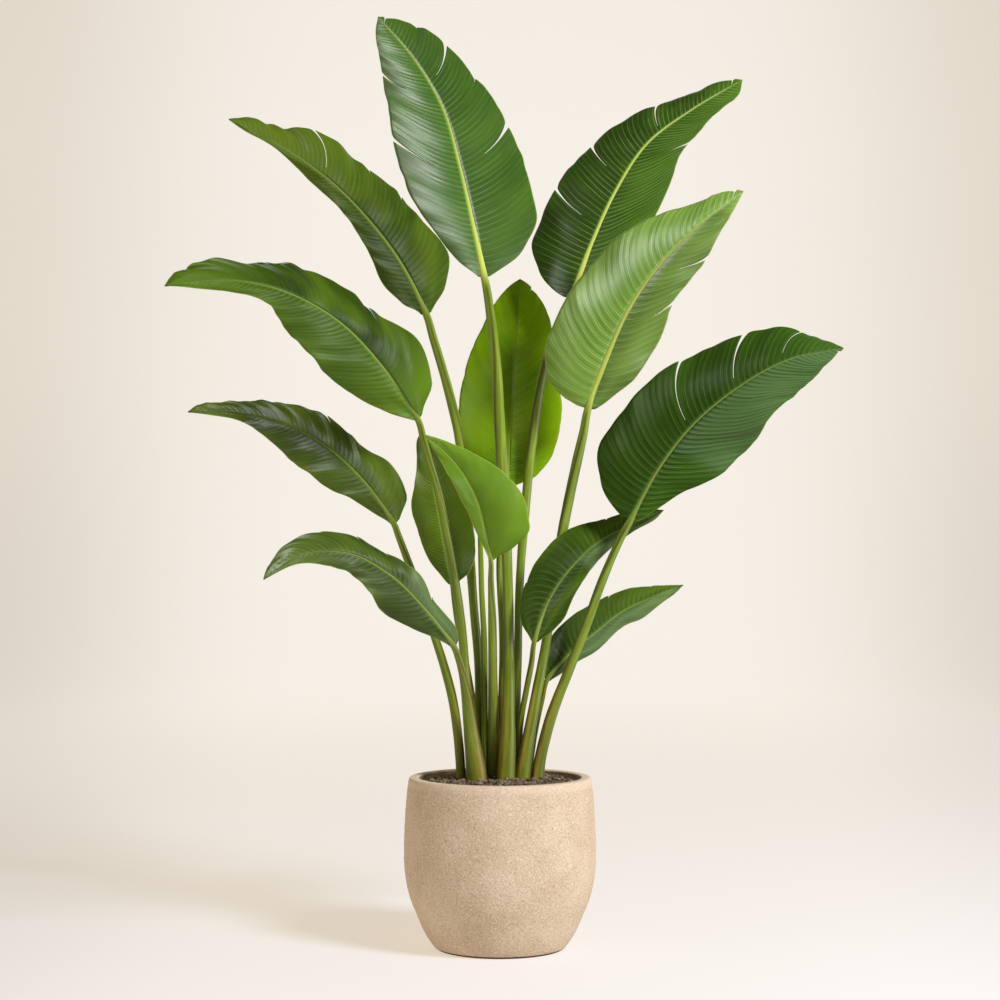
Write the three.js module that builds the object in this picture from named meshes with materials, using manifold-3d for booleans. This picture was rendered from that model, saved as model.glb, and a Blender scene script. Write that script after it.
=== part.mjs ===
// A potted giant bird of paradise: thirteen leaves and one rolled new leaf stand in soil in a
// plain tapered planter. Millimetres, +Z up, the origin at the middle of the planter's foot.
// Seen from the front, -Y is near and +X is to the right.

import * as THREE from "three";
import { mergeVertices } from "three/addons/utils/BufferGeometryUtils.js";
import Module from "manifold-3d";

const wasm = await Module();
wasm.setup();

// Planter: [radius, height] of its outer face from foot to rim.
const POT_OUTER = [[99, 0], [103, 3], [117, 23], [130.5, 53], [140.5, 78], [146, 101], [149.5, 128],
  [150, 156], [148.5, 200], [145.5, 240], [143, 260], [140.5, 264]];
const POT_HEIGHT = 265;
const RIM_OUTER = 138.5;          // the flat rim runs from here
const RIM_INNER = 127;            // to the inner wall
const RIM_EASE = 2;               // bevel of its inner edge
const WALL = 15;
const FLOOR = 16;
const POT_SIDES = 44;

// Soil: a low mound inside the planter.
const FIT_GAP = 0.4;              // between pieces that only rest against each other
const SOIL_EDGE = 253;            // height at the wall
const SOIL_MIDDLE = 261;          // height in the middle
const SOIL_RINGS = 4;
const SOIL_RELIEF = 1.6;          // lumps of the soil's surface
const SOIL_SEED = 41;
const HOLE_SIDES = 12;
const HOLE_BOTTOM = 214.6;        // just under the stalks' feet
const HOLE_TOP = 290;             // above the mound
const HOLE_SPREAD = 1.04;         // keeps the flat sides of a hole clear of the round stalk
const HOLE_CLEAR = 0.5;

// Leaves.
const BLADE_THICKNESS = 1.2;
const STALK_SIDES = 8;
const STALK_ON_RIB = [[0.06, 0.8], [0.12, 0.45]];   // [fraction of the midrib, share of its width]
const RIB_TIP_HALF = 1.2;         // half width of the midrib at the tip
const RIB_TAPER = 0.7;            // under 1 thins the midrib sooner
const RIB_SHARE = 0.45;           // the most of a half blade that the midrib takes
const KEEL = 1.1;                 // depth of the midrib under the blade, in its own half widths
const ROW_STEP = 34;              // spacing of the blade's rows
const ROW_CLEAR = 0.35;           // how near a tear an even row may lie, in row steps
const COLUMNS = [0.4, 0.75, 1];   // places between the midrib and the margin
const SLIT = 2.4;                 // width of a tear where it ends
const TEAR_EASE = 18;             // how far along the midrib a tear pushes its edges apart
const ARCH = 0.1;                 // how much each half blade bulges toward its upper face
const WAVE_OFFSET = 0.37;         // turns by which the right margin's waves lead the left's

// Fractions of the midrib at which a blade's half widths are given.
const STATIONS = [0, 0.03, 0.08, 0.18, 0.32, 0.48, 0.64, 0.8, 0.92, 1];
// Angle of the side veins, forward of square to the midrib: [fraction, degrees].
const VEIN_ANGLES = [[0, -20], [0.1, -4], [0.3, 9], [0.6, 18], [0.9, 34], [1, 62]];

// Each leaf: stalk [x, y, z, width] from its foot, midrib [x, y, z] from the stalk to the tip, the way
// its upper side faces at the base and the tip, half widths on each side at the stations, tilt of each
// half in degrees at the base and the tip, wave [height, how many, phase], and its tears
// [side, fraction, share of the half width, opening].
const LEAVES = [
  { name: "leaf_01", look: "mid",
    stalk: [[9, -21, 215, 28], [9, -21, 266, 28], [12, -20, 331, 23], [13, -18, 386, 19],
      [14, -15, 479, 16], [12, -12, 573, 16], [8, -6, 667, 18], [3, 2, 753, 18], [-2, 12, 841, 18],
      [-7, 22, 920, 17], [-14, 30, 984, 15], [-23, 37, 1046, 13]],
    rib: [[-26, 40, 1056], [-45, 62, 1151], [-66, 95, 1246], [-93, 135, 1344], [-142, 180, 1437],
      [-206, 230, 1522]],
    face: [[0.1, -1, 0.25], [0.15, -1, 0.45]], tilt: [[-8, -14], [-8, -10]], wave: [5, 3.2, 0.4],
    left: [6, 16, 35, 62, 91, 95, 80, 53, 28, 1], right: [7, 30, 72, 109, 110, 97, 83, 65, 38, 1],
    tears: [["left", 0.485, 0.6, 4], ["left", 0.755, 0.43, 3], ["right", 0.444, 0.6, 7],
      ["right", 0.745, 0.8, 5]] },
  { name: "leaf_02", look: "dark",
    stalk: [[-28, 29, 215, 18], [-28, 29, 266, 18], [-31, 27, 368, 16], [-34, 22, 446, 14],
      [-41, 22, 525, 14], [-47, 22, 604, 15], [-55, 22, 699, 15], [-64, 23, 794, 15],
      [-78, 24, 858, 15], [-93, 25, 913, 14], [-106, 25, 956, 13], [-117, 25, 994, 12]],
    rib: [[-117, 25, 994], [-158, 45, 1078], [-215, 70, 1156], [-281, 85, 1223], [-358, 95, 1278],
      [-441, 100, 1321]],
    face: [[0.15, -1, 0.35], [0, -1, 0.75]], tilt: [[-25, -50], [8, -10]], wave: [5, 2.6, 0.1],
    left: [6, 12, 29, 42, 32, 26, 20, 12, 8, 1], right: [6, 20, 48, 76, 70, 70, 69, 46, 29, 1],
    tears: [["right", 0.7, 0.85, 4]] },
  { name: "leaf_03", look: "dark",
    stalk: [[-44, 8, 215, 16], [-44, 8, 266, 16], [-48, 0, 340, 15], [-54, -14, 433, 14],
      [-61, -22, 510, 14], [-70, -29, 573, 14], [-81, -33, 635, 13], [-95, -36, 705, 12],
      [-109, -36, 755, 11], [-119, -34, 791, 11], [-128, -30, 823, 10]],
    rib: [[-128, -30, 825], [-182, -65, 903], [-244, -100, 967], [-324, -130, 1010],
      [-412, -150, 1025], [-502, -160, 1015]],
    face: [[0.1, -1, 0.35], [-0.05, -1, 0.6]], tilt: [[-22, -35], [4, -18]], wave: [6, 2.8, 0.3],
    left: [5, 16, 35, 60, 76, 60, 30, 18, 7, 1], right: [6, 21, 53, 72, 56, 58, 50, 54, 33, 1],
    tears: [["right", 0.662, 0.2, 4], ["right", 0.348, 0.2, 4]] },
  { name: "leaf_04", look: "dark",
    stalk: [[-61, -2, 215, 14], [-61, -2, 266, 14], [-65, -1, 322, 14], [-74, 0, 385, 14],
      [-88, 2, 439, 14], [-106, 4, 494, 13], [-125, 6, 549, 13], [-144, 8, 600, 12],
      [-161, 10, 645, 11], [-167, 10, 661, 10]],
    rib: [[-166, 10, 662], [-214, 25, 727], [-273, 45, 782], [-344, 65, 821], [-423, 80, 841],
      [-504, 90, 843]],
    face: [[0, -1, 0.3], [0, -1, 0.6]], tilt: [[-20, -30], [0, -12]], wave: [5, 2.4, 0.6],
    left: [5, 8, 17, 34, 54, 49, 32, 12, 4, 1], right: [6, 19, 42, 52, 40, 48, 40, 29, 22, 1],
    tears: [["right", 0.619, 0.2, 4], ["right", 0.469, 0.2, 4]] },
  { name: "leaf_05", look: "dark",
    stalk: [[-36, -24, 215, 31], [-36, -24, 266, 31], [-44, -29, 332, 23], [-51, -37, 386, 16],
      [-58, -50, 430, 12], [-65, -62, 456, 10], [-71, -70, 472, 10]],
    rib: [[-70, -70, 473], [-114, -100, 530], [-164, -130, 581], [-225, -155, 614], [-293, -170, 613],
      [-351, -175, 576]],
    face: [[0.1, -1, 0.35], [-0.1, -1, 0.5]], tilt: [[-18, -25], [0, -15]], wave: [4, 2.6, 0],
    left: [5, 8, 16, 35, 50, 37, 25, 16, 6, 1], right: [6, 15, 21, 20, 31, 28, 38, 33, 22, 1],
    tears: [["right", 0.221, 0.4, 3], ["right", 0.585, 0.25, 3]] },
  { name: "leaf_06", look: "mid",
    stalk: [[22, 24, 215, 14], [22, 24, 266, 14], [25, 25, 351, 13], [28, 29, 446, 13],
      [30, 35, 541, 13], [34, 39, 612, 14], [40, 43, 683, 15], [46, 48, 748, 15], [53, 53, 803, 15],
      [61, 58, 860, 15], [73, 63, 921, 14], [91, 68, 976, 12], [114, 70, 1026, 11]],
    rib: [[114, 70, 1026], [149, 105, 1118], [190, 145, 1210], [246, 190, 1299], [327, 235, 1367],
      [415, 275, 1425]],
    face: [[-0.15, -1, 0.25], [0, -1, 0.5]], tilt: [[-10, -20], [-10, -18]], wave: [5, 3.1, 0.2],
    left: [8, 34, 68, 104, 104, 94, 67, 45, 31, 1], right: [6, 28, 62, 80, 78, 74, 51, 35, 27, 1],
    tears: [["left", 0.32, 0.7, 4], ["left", 0.493, 0.64, 5], ["left", 0.695, 0.85, 4],
      ["right", 0.669, 0.5, 4]] },
  { name: "leaf_07", look: "light",
    stalk: [[35, -12, 215, 23], [35, -12, 266, 23], [41, -12, 306, 20], [49, -11, 353, 17],
      [61, -8, 416, 16], [67, -5, 447, 15], [74, -2, 487, 15], [80, 3, 534, 15], [88, 5, 581, 15],
      [96, 5, 635, 16], [108, 0, 698, 16], [121, -8, 760, 16], [131, -13, 805, 14], [138, -15, 842, 12]],
    rib: [[138, -15, 842], [166, -32, 919], [200, -50, 994], [248, -65, 1062], [307, -75, 1120],
      [374, -75, 1171]],
    face: [[-0.15, -1, 0.15], [-0.2, -1, 0.45]], tilt: [[-8, -18], [-12, -22]], wave: [5, 2.9, 0.5],
    left: [9, 45, 84, 106, 105, 100, 77, 48, 28, 1], right: [7, 17, 31, 56, 65, 57, 52, 36, 16, 1],
    tears: [["right", 0.472, 0.33, 3], ["right", 0.688, 0.43, 4], ["left", 0.845, 0.2, 4]] },
  { name: "leaf_08", look: "deep",
    stalk: [[59, -5, 215, 19], [59, -5, 266, 19], [63, -5, 295, 17], [78, -7, 354, 17],
      [90, -8, 388, 16], [104, -11, 423, 16], [118, -14, 459, 15], [132, -18, 495, 15],
      [155, -28, 561, 14], [172, -36, 604, 13], [186, -43, 635, 12], [200, -53, 663, 11]],
    rib: [[200, -53, 665], [243, -75, 743], [295, -95, 811], [361, -115, 866], [435, -125, 907],
      [519, -125, 925]],
    face: [[-0.1, -1, 0.35], [0, -1, 0.6]], tilt: [[0, -18], [-14, -32]], wave: [6, 3, 0.1],
    left: [8, 30, 67, 105, 106, 101, 88, 65, 30, 1], right: [6, 15, 27, 50, 87, 83, 66, 47, 22, 1],
    tears: [["left", 0.458, 0.9, 3], ["left", 0.66, 0.85, 9], ["left", 0.823, 0.79, 4]] },
  { name: "leaf_09", look: "dark",
    stalk: [[30, 8, 215, 10], [30, 8, 266, 10], [30, 3, 314, 9], [33, -3, 356, 9], [41, -18, 401, 9],
      [49, -33, 445, 9], [53, -45, 478, 8]],
    rib: [[53, -45, 478], [72, -38, 533], [104, -36, 584], [147, -20, 626], [201, 10, 656],
      [260, 45, 683]],
    face: [[-0.1, -1, 0.3], [0, -1, 0.5]], tilt: [[12, 0], [-16, -24]], wave: [4, 2.2, 0.3],
    left: [4, 12, 28, 43, 50, 47, 35, 25, 13, 1], right: [4, 10, 22, 34, 30, 23, 18, 12, 9, 1],
    tears: [["left", 0.22, 0.7, 4]] },
  { name: "leaf_10", look: "dark",
    stalk: [[46, 12, 215, 9], [46, 12, 266, 9], [52, 11, 317, 9], [59, 10, 355, 9], [66, 8, 385, 8],
      [74, 5, 416, 8]],
    rib: [[74, 5, 416], [109, 20, 455], [151, 40, 488], [195, 65, 520], [245, 90, 543], [297, 110, 563]],
    face: [[0, -1, 0.35], [0, -1, 0.5]], tilt: [[0, -10], [-20, -30]], wave: [3, 2.6, 0.4],
    left: [5, 10, 21, 41, 46, 43, 36, 23, 11, 1], right: [4, 6, 11, 18, 24, 21, 26, 17, 10, 1],
    tears: [] },
  { name: "leaf_11", look: "bright",
    stalk: [[2, 26, 215, 13], [2, 26, 266, 13], [3, 28, 383, 12], [4, 32, 477, 11], [-1, 44, 600, 10],
      [4, 56, 684, 8], [11, 60, 722, 8]],
    rib: [[11, 60, 722], [15, 80, 790], [19, 105, 858], [22, 130, 928], [28, 155, 999], [33, 180, 1070]],
    face: [[0, -1, 0.2], [0.05, -1, 0.4]], tilt: [[-6, -12], [-6, -12]], wave: [4, 2.4, 0.2],
    left: [5, 22, 48, 73, 88, 83, 69, 48, 24, 1], right: [5, 20, 48, 73, 84, 80, 70, 55, 28, 1],
    tears: [["right", 0.92, 0.2, 3]] },
  { name: "leaf_12", look: "young",
    stalk: [[-10, 1, 215, 18], [-10, 1, 266, 18], [-10, -3, 331, 17], [-11, -16, 416, 15],
      [-12, -44, 512, 13], [-14, -66, 573, 9], [-14, -75, 604, 8]],
    rib: [[-14, -75, 604], [-23, -95, 649], [-34, -110, 693], [-54, -118, 733], [-82, -118, 768],
      [-118, -112, 796]],
    face: [[0.1, -1, 0.05], [-0.1, -1, 0.05]], tilt: [[12, 8], [10, 6]], wave: [2, 1.6, 0.2],
    left: [3, 4, 6, 12, 19, 24, 22, 15, 6, 1], right: [4, 12, 38, 69, 70, 54, 33, 16, 7, 1],
    tears: [] },
  { name: "leaf_13", look: "young",
    stalk: [[-31, 12, 215, 9], [-31, 12, 266, 9], [-38, 12, 353, 9], [-54, 9, 447, 9],
      [-68, 6, 510, 8], [-75, 5, 566, 8]],
    rib: [[-75, 5, 566], [-84, 5, 614], [-93, 0, 662], [-102, 0, 709], [-111, 5, 757], [-124, 10, 804]],
    face: [[-0.25, -1, 0.15], [-0.2, -1, 0.2]], tilt: [[-6, -8], [-6, -8]], wave: [3, 1.8, 0.1],
    left: [4, 9, 16, 31, 41, 45, 32, 22, 15, 1], right: [5, 14, 32, 45, 50, 46, 36, 24, 12, 1],
    tears: [] },
];

// The rolled new leaf: [x, y, z, width].
const NEW_LEAF = [[-24, 2, 215, 10], [-24, 2, 265, 10], [-24, 2, 385, 10], [-25, 2, 479, 10],
  [-29, 1, 557, 9], [-31, 0, 628, 8], [-35, -4, 706, 2]];

const LOOKS = {
  deep: { color: 0x2c4a22, roughness: 0.42 },
  dark: { color: 0x35571f, roughness: 0.42 },
  mid: { color: 0x47702c, roughness: 0.42 },
  light: { color: 0x6f9a48, roughness: 0.45 },
  bright: { color: 0x6e9216, roughness: 0.45 },
  young: { color: 0x5f8a26, roughness: 0.45 },
  pot: { color: 0xd2bba0, roughness: 0.85 },
  soil: { color: 0x4a382b, roughness: 0.98 },
};

const plant = new THREE.Group();
const point = ([x, y, z]) => new THREE.Vector3(x, y, z);
const radians = THREE.MathUtils.degToRad;

function addPiece(name, look, geometry) {
  geometry.computeVertexNormals();
  const material = new THREE.MeshStandardMaterial({ ...LOOKS[look], metalness: 0 });
  const mesh = new THREE.Mesh(geometry, material);
  mesh.name = name;
  plant.add(mesh);
}

// A repeatable random number from 0 to 1 for each whole number.
function chance(index) {
  const x = Math.sin(index * 127.1 + SOIL_SEED * 311.7) * 43758.5453;
  return x - Math.floor(x);
}

// Straight-line reading of [[place, value], ...] at a place.
function readPairs(pairs, place) {
  const next = pairs.findIndex(([at]) => at >= place);
  if (next < 0) return pairs[pairs.length - 1][1];
  if (next === 0) return pairs[0][1];
  const [a, low] = pairs[next - 1];
  const [b, high] = pairs[next];
  return low + (high - low) * (place - a) / (b - a);
}

// Smooth reading of the half widths at a fraction of the midrib, without overshoot.
function readWidth(widths, u) {
  const slope = (k) => (widths[k + 1] - widths[k]) / (STATIONS[k + 1] - STATIONS[k]);
  const tangent = (k) => {
    if (k === 0) return slope(0);
    if (k === widths.length - 1) return slope(k - 1);
    const [before, after] = [slope(k - 1), slope(k)];
    if (before * after <= 0) return 0;
    const [h0, h1] = [STATIONS[k] - STATIONS[k - 1], STATIONS[k + 1] - STATIONS[k]];
    const [w0, w1] = [2 * h1 + h0, h1 + 2 * h0];
    return (w0 + w1) / (w0 / before + w1 / after);
  };
  const k = Math.min(Math.max(STATIONS.findIndex((at) => at > u) - 1, 0), widths.length - 2);
  const last = u >= 1 ? widths.length - 2 : k;
  const h = STATIONS[last + 1] - STATIONS[last];
  const t = (u - STATIONS[last]) / h;
  return (1 + 2 * t) * (1 - t) ** 2 * widths[last] + t * (1 - t) ** 2 * h * tangent(last)
    + t * t * (3 - 2 * t) * widths[last + 1] + t * t * (t - 1) * h * tangent(last + 1);
}

// The blade's own directions at a fraction of its midrib.
function bladeFrame(leaf, rib, u) {
  const along = rib.getTangentAt(u);
  const face = point(leaf.face[0]).lerp(point(leaf.face[1]), u);
  const across = new THREE.Vector3().crossVectors(along, face).normalize();
  const up = new THREE.Vector3().crossVectors(across, along);
  return { along, across, up };
}

// How far the tears of one side push a point of this row along the midrib, to stand open.
function tearShift(leaf, length, side, u, share) {
  let shift = 0;
  for (const [tearSide, at, depth, opening] of leaf.tears) {
    if (tearSide !== side) continue;
    const reach = Math.max(0, (share - (1 - depth)) / depth);
    const distance = (u - at) * length;
    shift += Math.sign(distance) * opening / 2 * reach * Math.exp(-Math.abs(distance) / TEAR_EASE);
  }
  return shift;
}

// A point of the blade's middle surface. The place is 0 at the midrib and 1 at the margin.
function bladePoint(leaf, rib, u, side, place) {
  const { along, across, up } = bladeFrame(leaf, rib, u);
  const sign = side === "left" ? -1 : 1;
  const tilts = leaf.tilt[side === "left" ? 0 : 1];
  const tilt = radians(THREE.MathUtils.lerp(tilts[0], tilts[1], u));
  const vein = radians(readPairs(VEIN_ANGLES, u));
  const reach = readWidth(leaf[side], u) * place;
  const out = across.multiplyScalar(sign * Math.cos(tilt)).addScaledVector(up, Math.sin(tilt));
  const [height, count, phase] = leaf.wave;
  const turn = 2 * Math.PI * (count * u + phase + (side === "left" ? 0 : WAVE_OFFSET));
  const wave = height * Math.sin(turn) * place ** 2 * Math.sqrt(Math.sin(Math.PI * u));
  const arch = ARCH * reach * 4 * (1 - place);
  const push = tearShift(leaf, rib.getLength(), side, u, place);
  return rib.getPointAt(u)
    .addScaledVector(out, reach * Math.cos(vein))
    .addScaledVector(along, reach * Math.sin(vein) + push)
    .addScaledVector(up, wave + arch);
}

// Rows of the blade: even ones, and one on each edge of every tear.
function bladeRows(leaf, length) {
  const half = SLIT / 2 / length;
  const cuts = leaf.tears.flatMap(([, at]) => [at - half, at + half]);
  const count = Math.round(length / ROW_STEP);
  const even = Array.from({ length: count + 1 }, (_, k) => k / count);
  even.splice(1, 0, STATIONS[1]);
  const isClear = (u) => cuts.every((cut) => Math.abs(u - cut) > ROW_CLEAR / count);
  const kept = even.filter((u) => u === 0 || u === 1 || isClear(u));
  return [...kept, ...cuts].sort((a, b) => a - b);
}

// Whether a tear removes the strip between two rows at a place on this side.
function isTorn(leaf, side, low, high, place) {
  return leaf.tears.some(([tearSide, at, depth]) =>
    tearSide === side && low < at && high > at && place > 1 - depth);
}

// Half the midrib's width at a fraction of its length.
function ribHalf(leaf, u) {
  return THREE.MathUtils.lerp(leaf.stalk.at(-1)[3] / 2, RIB_TIP_HALF, u ** RIB_TAPER);
}

// Places across one half of a row, from the midrib's edge to the margin.
function rowPlaces(leaf, side, u) {
  const first = Math.min(ribHalf(leaf, u) / readWidth(leaf[side], u), RIB_SHARE);
  return [first, ...COLUMNS.map((column) => first + (1 - first) * column)];
}

// The middle surface's points, row by row from the left margin to the right.
function bladeGrid(leaf, rib, rows) {
  return rows.map((u) => {
    const left = rowPlaces(leaf, "left", u).reverse().map((p) => bladePoint(leaf, rib, u, "left", p));
    const right = rowPlaces(leaf, "right", u).map((p) => bladePoint(leaf, rib, u, "right", p));
    return [...left, rib.getPointAt(u), ...right];
  });
}

// Each point of the grid moved to the upper and to the lower skin, which has the midrib's keel.
function skinCorners(leaf, rows, grid, middle) {
  const corners = [];
  grid.forEach((row, i) => row.forEach((spot, j) => {
    const ahead = grid[Math.min(i + 1, grid.length - 1)][j];
    const behind = grid[Math.max(i - 1, 0)][j];
    const beside = row[Math.min(j + 1, row.length - 1)].clone().sub(row[Math.max(j - 1, 0)]);
    const normal = beside.cross(ahead.clone().sub(behind)).normalize();
    const keel = j === middle ? ribHalf(leaf, rows[i]) * KEEL : 0;
    corners.push(spot.clone().addScaledVector(normal, BLADE_THICKNESS / 2));
    corners.push(spot.clone().addScaledVector(normal, -BLADE_THICKNESS / 2 - keel));
  }));
  return corners;
}

// The blade as a closed body: two alike skins, and walls along every open edge.
function bladeSolid(leaf, rib) {
  const rows = bladeRows(leaf, rib.getLength());
  const middle = COLUMNS.length + 1;
  const corners = skinCorners(leaf, rows, bladeGrid(leaf, rib, rows), middle);
  const present = (i, j) => {
    if (i < 0 || j < 0 || i >= rows.length - 1 || j >= 2 * middle) return false;
    const side = j < middle ? "left" : "right";
    const outer = Math.abs((j < middle ? j : j + 1) - middle);
    const shares = [0, ...rowPlaces(leaf, side, rows[i])];
    return !isTorn(leaf, side, rows[i], rows[i + 1], (shares[outer - 1] + shares[outer]) / 2);
  };
  return closeGrid(corners, rows.length - 1, 2 * middle, present);
}

// Triangles over the cells that are present, the same on both skins, with walls round them.
function closeGrid(corners, tall, wide, present) {
  const at = (i, j, face) => (i * (wide + 1) + j) * 2 + face;
  const index = [];
  const wall = (a, b) => index.push(a, a + 1, b + 1, a, b + 1, b);
  for (let i = 0; i < tall; i += 1) {
    for (let j = 0; j < wide; j += 1) {
      if (!present(i, j)) continue;
      const [a, b, c, d] = [at(i, j, 0), at(i, j + 1, 0), at(i + 1, j + 1, 0), at(i + 1, j, 0)];
      index.push(a, b, c, a, c, d, a + 1, c + 1, b + 1, a + 1, d + 1, c + 1);
      if (!present(i - 1, j)) wall(a, b);
      if (!present(i, j + 1)) wall(b, c);
      if (!present(i + 1, j)) wall(c, d);
      if (!present(i, j - 1)) wall(d, a);
    }
  }
  return toSolid(corners, index);
}

// A round tapered tube with a ring of corners at each [x, y, z, width] place.
function tubeSolid(places, sides) {
  const count = places.length - 1;
  const corners = [];
  const index = [];
  places.forEach((place, i) => {
    const centre = point(place);
    const ahead = point(places[Math.min(i + 1, count)]);
    const along = ahead.sub(point(places[Math.max(i - 1, 0)])).normalize();
    const across = new THREE.Vector3(0, 1, 0).cross(along).normalize();
    const deep = new THREE.Vector3().crossVectors(along, across);
    for (let k = 0; k < sides; k += 1) {
      const turn = 2 * Math.PI * (k + 0.5) / sides;
      corners.push(centre.clone().addScaledVector(across, place[3] / 2 * Math.cos(turn))
        .addScaledVector(deep, place[3] / 2 * Math.sin(turn)));
    }
  });
  for (let i = 0; i < count; i += 1) {
    for (let k = 0; k < sides; k += 1) {
      const [a, b] = [i * sides + k, i * sides + (k + 1) % sides];
      index.push(a, b, b + sides, a, b + sides, a + sides);
    }
  }
  for (let k = 1; k < sides - 1; k += 1) {
    const top = count * sides;
    index.push(0, k + 1, k, top, top + k, top + k + 1);
  }
  return toSolid(corners, index);
}

function toSolid(corners, index) {
  const vertProperties = new Float32Array(corners.flatMap((c) => [c.x, c.y, c.z]));
  const triVerts = new Uint32Array(index);
  return new wasm.Manifold(new wasm.Mesh({ numProp: 3, vertProperties, triVerts }));
}

function geometryToSolid(geometry) {
  geometry.deleteAttribute("normal");
  geometry.deleteAttribute("uv");
  const merged = mergeVertices(geometry, 1e-3);
  const corners = [];
  for (let k = 0; k < merged.attributes.position.count; k += 1) {
    corners.push(new THREE.Vector3().fromBufferAttribute(merged.attributes.position, k));
  }
  return toSolid(corners, [...merged.index.array]);
}

function toGeometry(solid) {
  const mesh = solid.getMesh();
  const geometry = new THREE.BufferGeometry();
  geometry.setAttribute("position", new THREE.BufferAttribute(mesh.vertProperties, 3));
  geometry.setIndex(new THREE.BufferAttribute(mesh.triVerts, 1));
  return geometry;
}

// One leaf: its stalk runs a little way up the blade's midrib and is one body with it.
function leafSolid(leaf) {
  const rib = new THREE.CatmullRomCurve3(leaf.rib.map(point), false, "centripetal");
  const end = leaf.stalk.at(-1);
  const onRib = STALK_ON_RIB.map(([u, share]) => {
    const { x, y, z } = rib.getPointAt(u);
    return [x, y, z, end[3] * share];
  });
  const stalk = tubeSolid([...leaf.stalk, ...onRib], STALK_SIDES);
  return bladeSolid(leaf, rib).add(stalk);
}

function buildPot() {
  const inner = POT_OUTER.slice(2, -1).map(([r, z]) => [r - WALL, Math.max(z, FLOOR)]).reverse();
  const rim = [[RIM_OUTER, POT_HEIGHT], [RIM_INNER + RIM_EASE, POT_HEIGHT],
    [RIM_INNER, POT_HEIGHT - RIM_EASE]];
  const profile = [[0, 0], ...POT_OUTER, ...rim, ...inner, [0, FLOOR]];
  addPiece("pot", "pot", latheBody(profile, POT_SIDES));
}

// A closed body turned about Z from [radius, height] places that start and end on the axis.
function latheBody(profile, sides) {
  const geometry = new THREE.LatheGeometry(profile.map(([r, z]) => new THREE.Vector2(r, z)), sides);
  geometry.rotateX(Math.PI / 2);
  return toGeometry(geometryToSolid(geometry));
}

// The soil: a mound with a lumpy top, and a plain hole for every stalk.
function buildSoil(stalks) {
  const floor = FLOOR + FIT_GAP;
  const wall = POT_OUTER.slice(2, -1).map(([r, z]) => [r - WALL - FIT_GAP, Math.max(z, floor)]);
  const edge = readPairs(wall.map(([r, z]) => [z, r]), SOIL_EDGE);
  const side = [...wall.filter(([, z]) => z < SOIL_EDGE), [edge, SOIL_EDGE]];
  const top = [];
  for (let ring = SOIL_RINGS - 1; ring >= 0; ring -= 1) {
    const share = ring / SOIL_RINGS;
    top.push([edge * share, SOIL_MIDDLE - (SOIL_MIDDLE - SOIL_EDGE) * share ** 2]);
  }
  const body = latheBody([[0, floor], ...side, ...top], POT_SIDES);
  const spots = body.attributes.position;
  for (let k = 0; k < spots.count; k += 1) {
    if (spots.getZ(k) < SOIL_EDGE + 0.1) continue;
    spots.setZ(k, spots.getZ(k) + (2 * chance(k) - 1) * SOIL_RELIEF);
  }
  let soil = geometryToSolid(body);
  for (const [[x, y, , width]] of stalks) {
    const wide = width * HOLE_SPREAD + 2 * HOLE_CLEAR;
    soil = soil.subtract(tubeSolid([[x, y, HOLE_BOTTOM, wide], [x, y, HOLE_TOP, wide]], HOLE_SIDES));
  }
  addPiece("soil", "soil", toGeometry(soil));
}

buildPot();
buildSoil([...LEAVES.map((leaf) => leaf.stalk), NEW_LEAF]);
LEAVES.forEach((leaf) => addPiece(leaf.name, leaf.look, toGeometry(leafSolid(leaf))));
addPiece("new_leaf", "young", toGeometry(tubeSolid(NEW_LEAF, STALK_SIDES)));

export default plant;
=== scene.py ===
# A potted giant bird of paradise in a bright studio: thirteen leaves and a rolled new leaf in a
# plain stone-coloured planter. Metres, +Z up, the origin at the middle of the planter's foot.
# The measured values below are in millimetres, seen from the front: -Y is near, +X to the right.

import math

import bpy
import numpy as np
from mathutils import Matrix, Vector


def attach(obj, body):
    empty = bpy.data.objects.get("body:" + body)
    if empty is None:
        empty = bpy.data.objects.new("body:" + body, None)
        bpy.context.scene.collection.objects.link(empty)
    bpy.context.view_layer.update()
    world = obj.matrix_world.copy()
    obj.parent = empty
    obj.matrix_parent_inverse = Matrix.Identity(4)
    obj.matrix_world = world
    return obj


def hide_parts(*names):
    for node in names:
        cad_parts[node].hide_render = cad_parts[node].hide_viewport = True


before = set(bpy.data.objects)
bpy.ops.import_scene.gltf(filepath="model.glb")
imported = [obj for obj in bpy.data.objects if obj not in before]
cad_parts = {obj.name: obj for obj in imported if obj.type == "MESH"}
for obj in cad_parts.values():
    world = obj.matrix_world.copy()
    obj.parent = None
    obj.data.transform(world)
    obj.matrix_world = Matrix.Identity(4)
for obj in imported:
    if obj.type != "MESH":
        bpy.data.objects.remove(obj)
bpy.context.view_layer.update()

MM = 0.001

# Camera: at the height of the stalks' middle, looking slightly up.
CAMERA_AT = (0, -3.252, 0.612)
CAMERA_PITCH = 1.52               # degrees above level
CAMERA_LENS = 74.52               # on a 36 mm sensor

# Studio: paper that glows by itself, a painted pool of light brightest round GLOW_AT.
FLOOR_RADIUS = 6.0
BEND_RADIUS = 3.0
WALL_HEIGHT = 9.0
PAPER_COLOR = (0.3, 0.35, 0.41)
PAPER_DIM = (0.59, 0.502, 0.395)    # its own light far from the glow
PAPER_GLOW = (0.735, 0.667, 0.575)
FLOOR_NEAR = (0.82, 0.76, 0.69)     # the floor's own light by the planter, as a share of the wall's
SIDE_SHARE = 0.87                   # of the floor's own light far to the side
FRONT_SHARE = 0.3                   # of the light of the paper in front of the planter
GLOW_AT = (0.08, 2.0)               # x and height of the middle of the glow
GLOW_REACH = 3.0
STUDIO_SIDES = 96
SKY_COLOR = (1.0, 0.98, 0.95)
SKY_STRENGTH = 0.12

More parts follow.
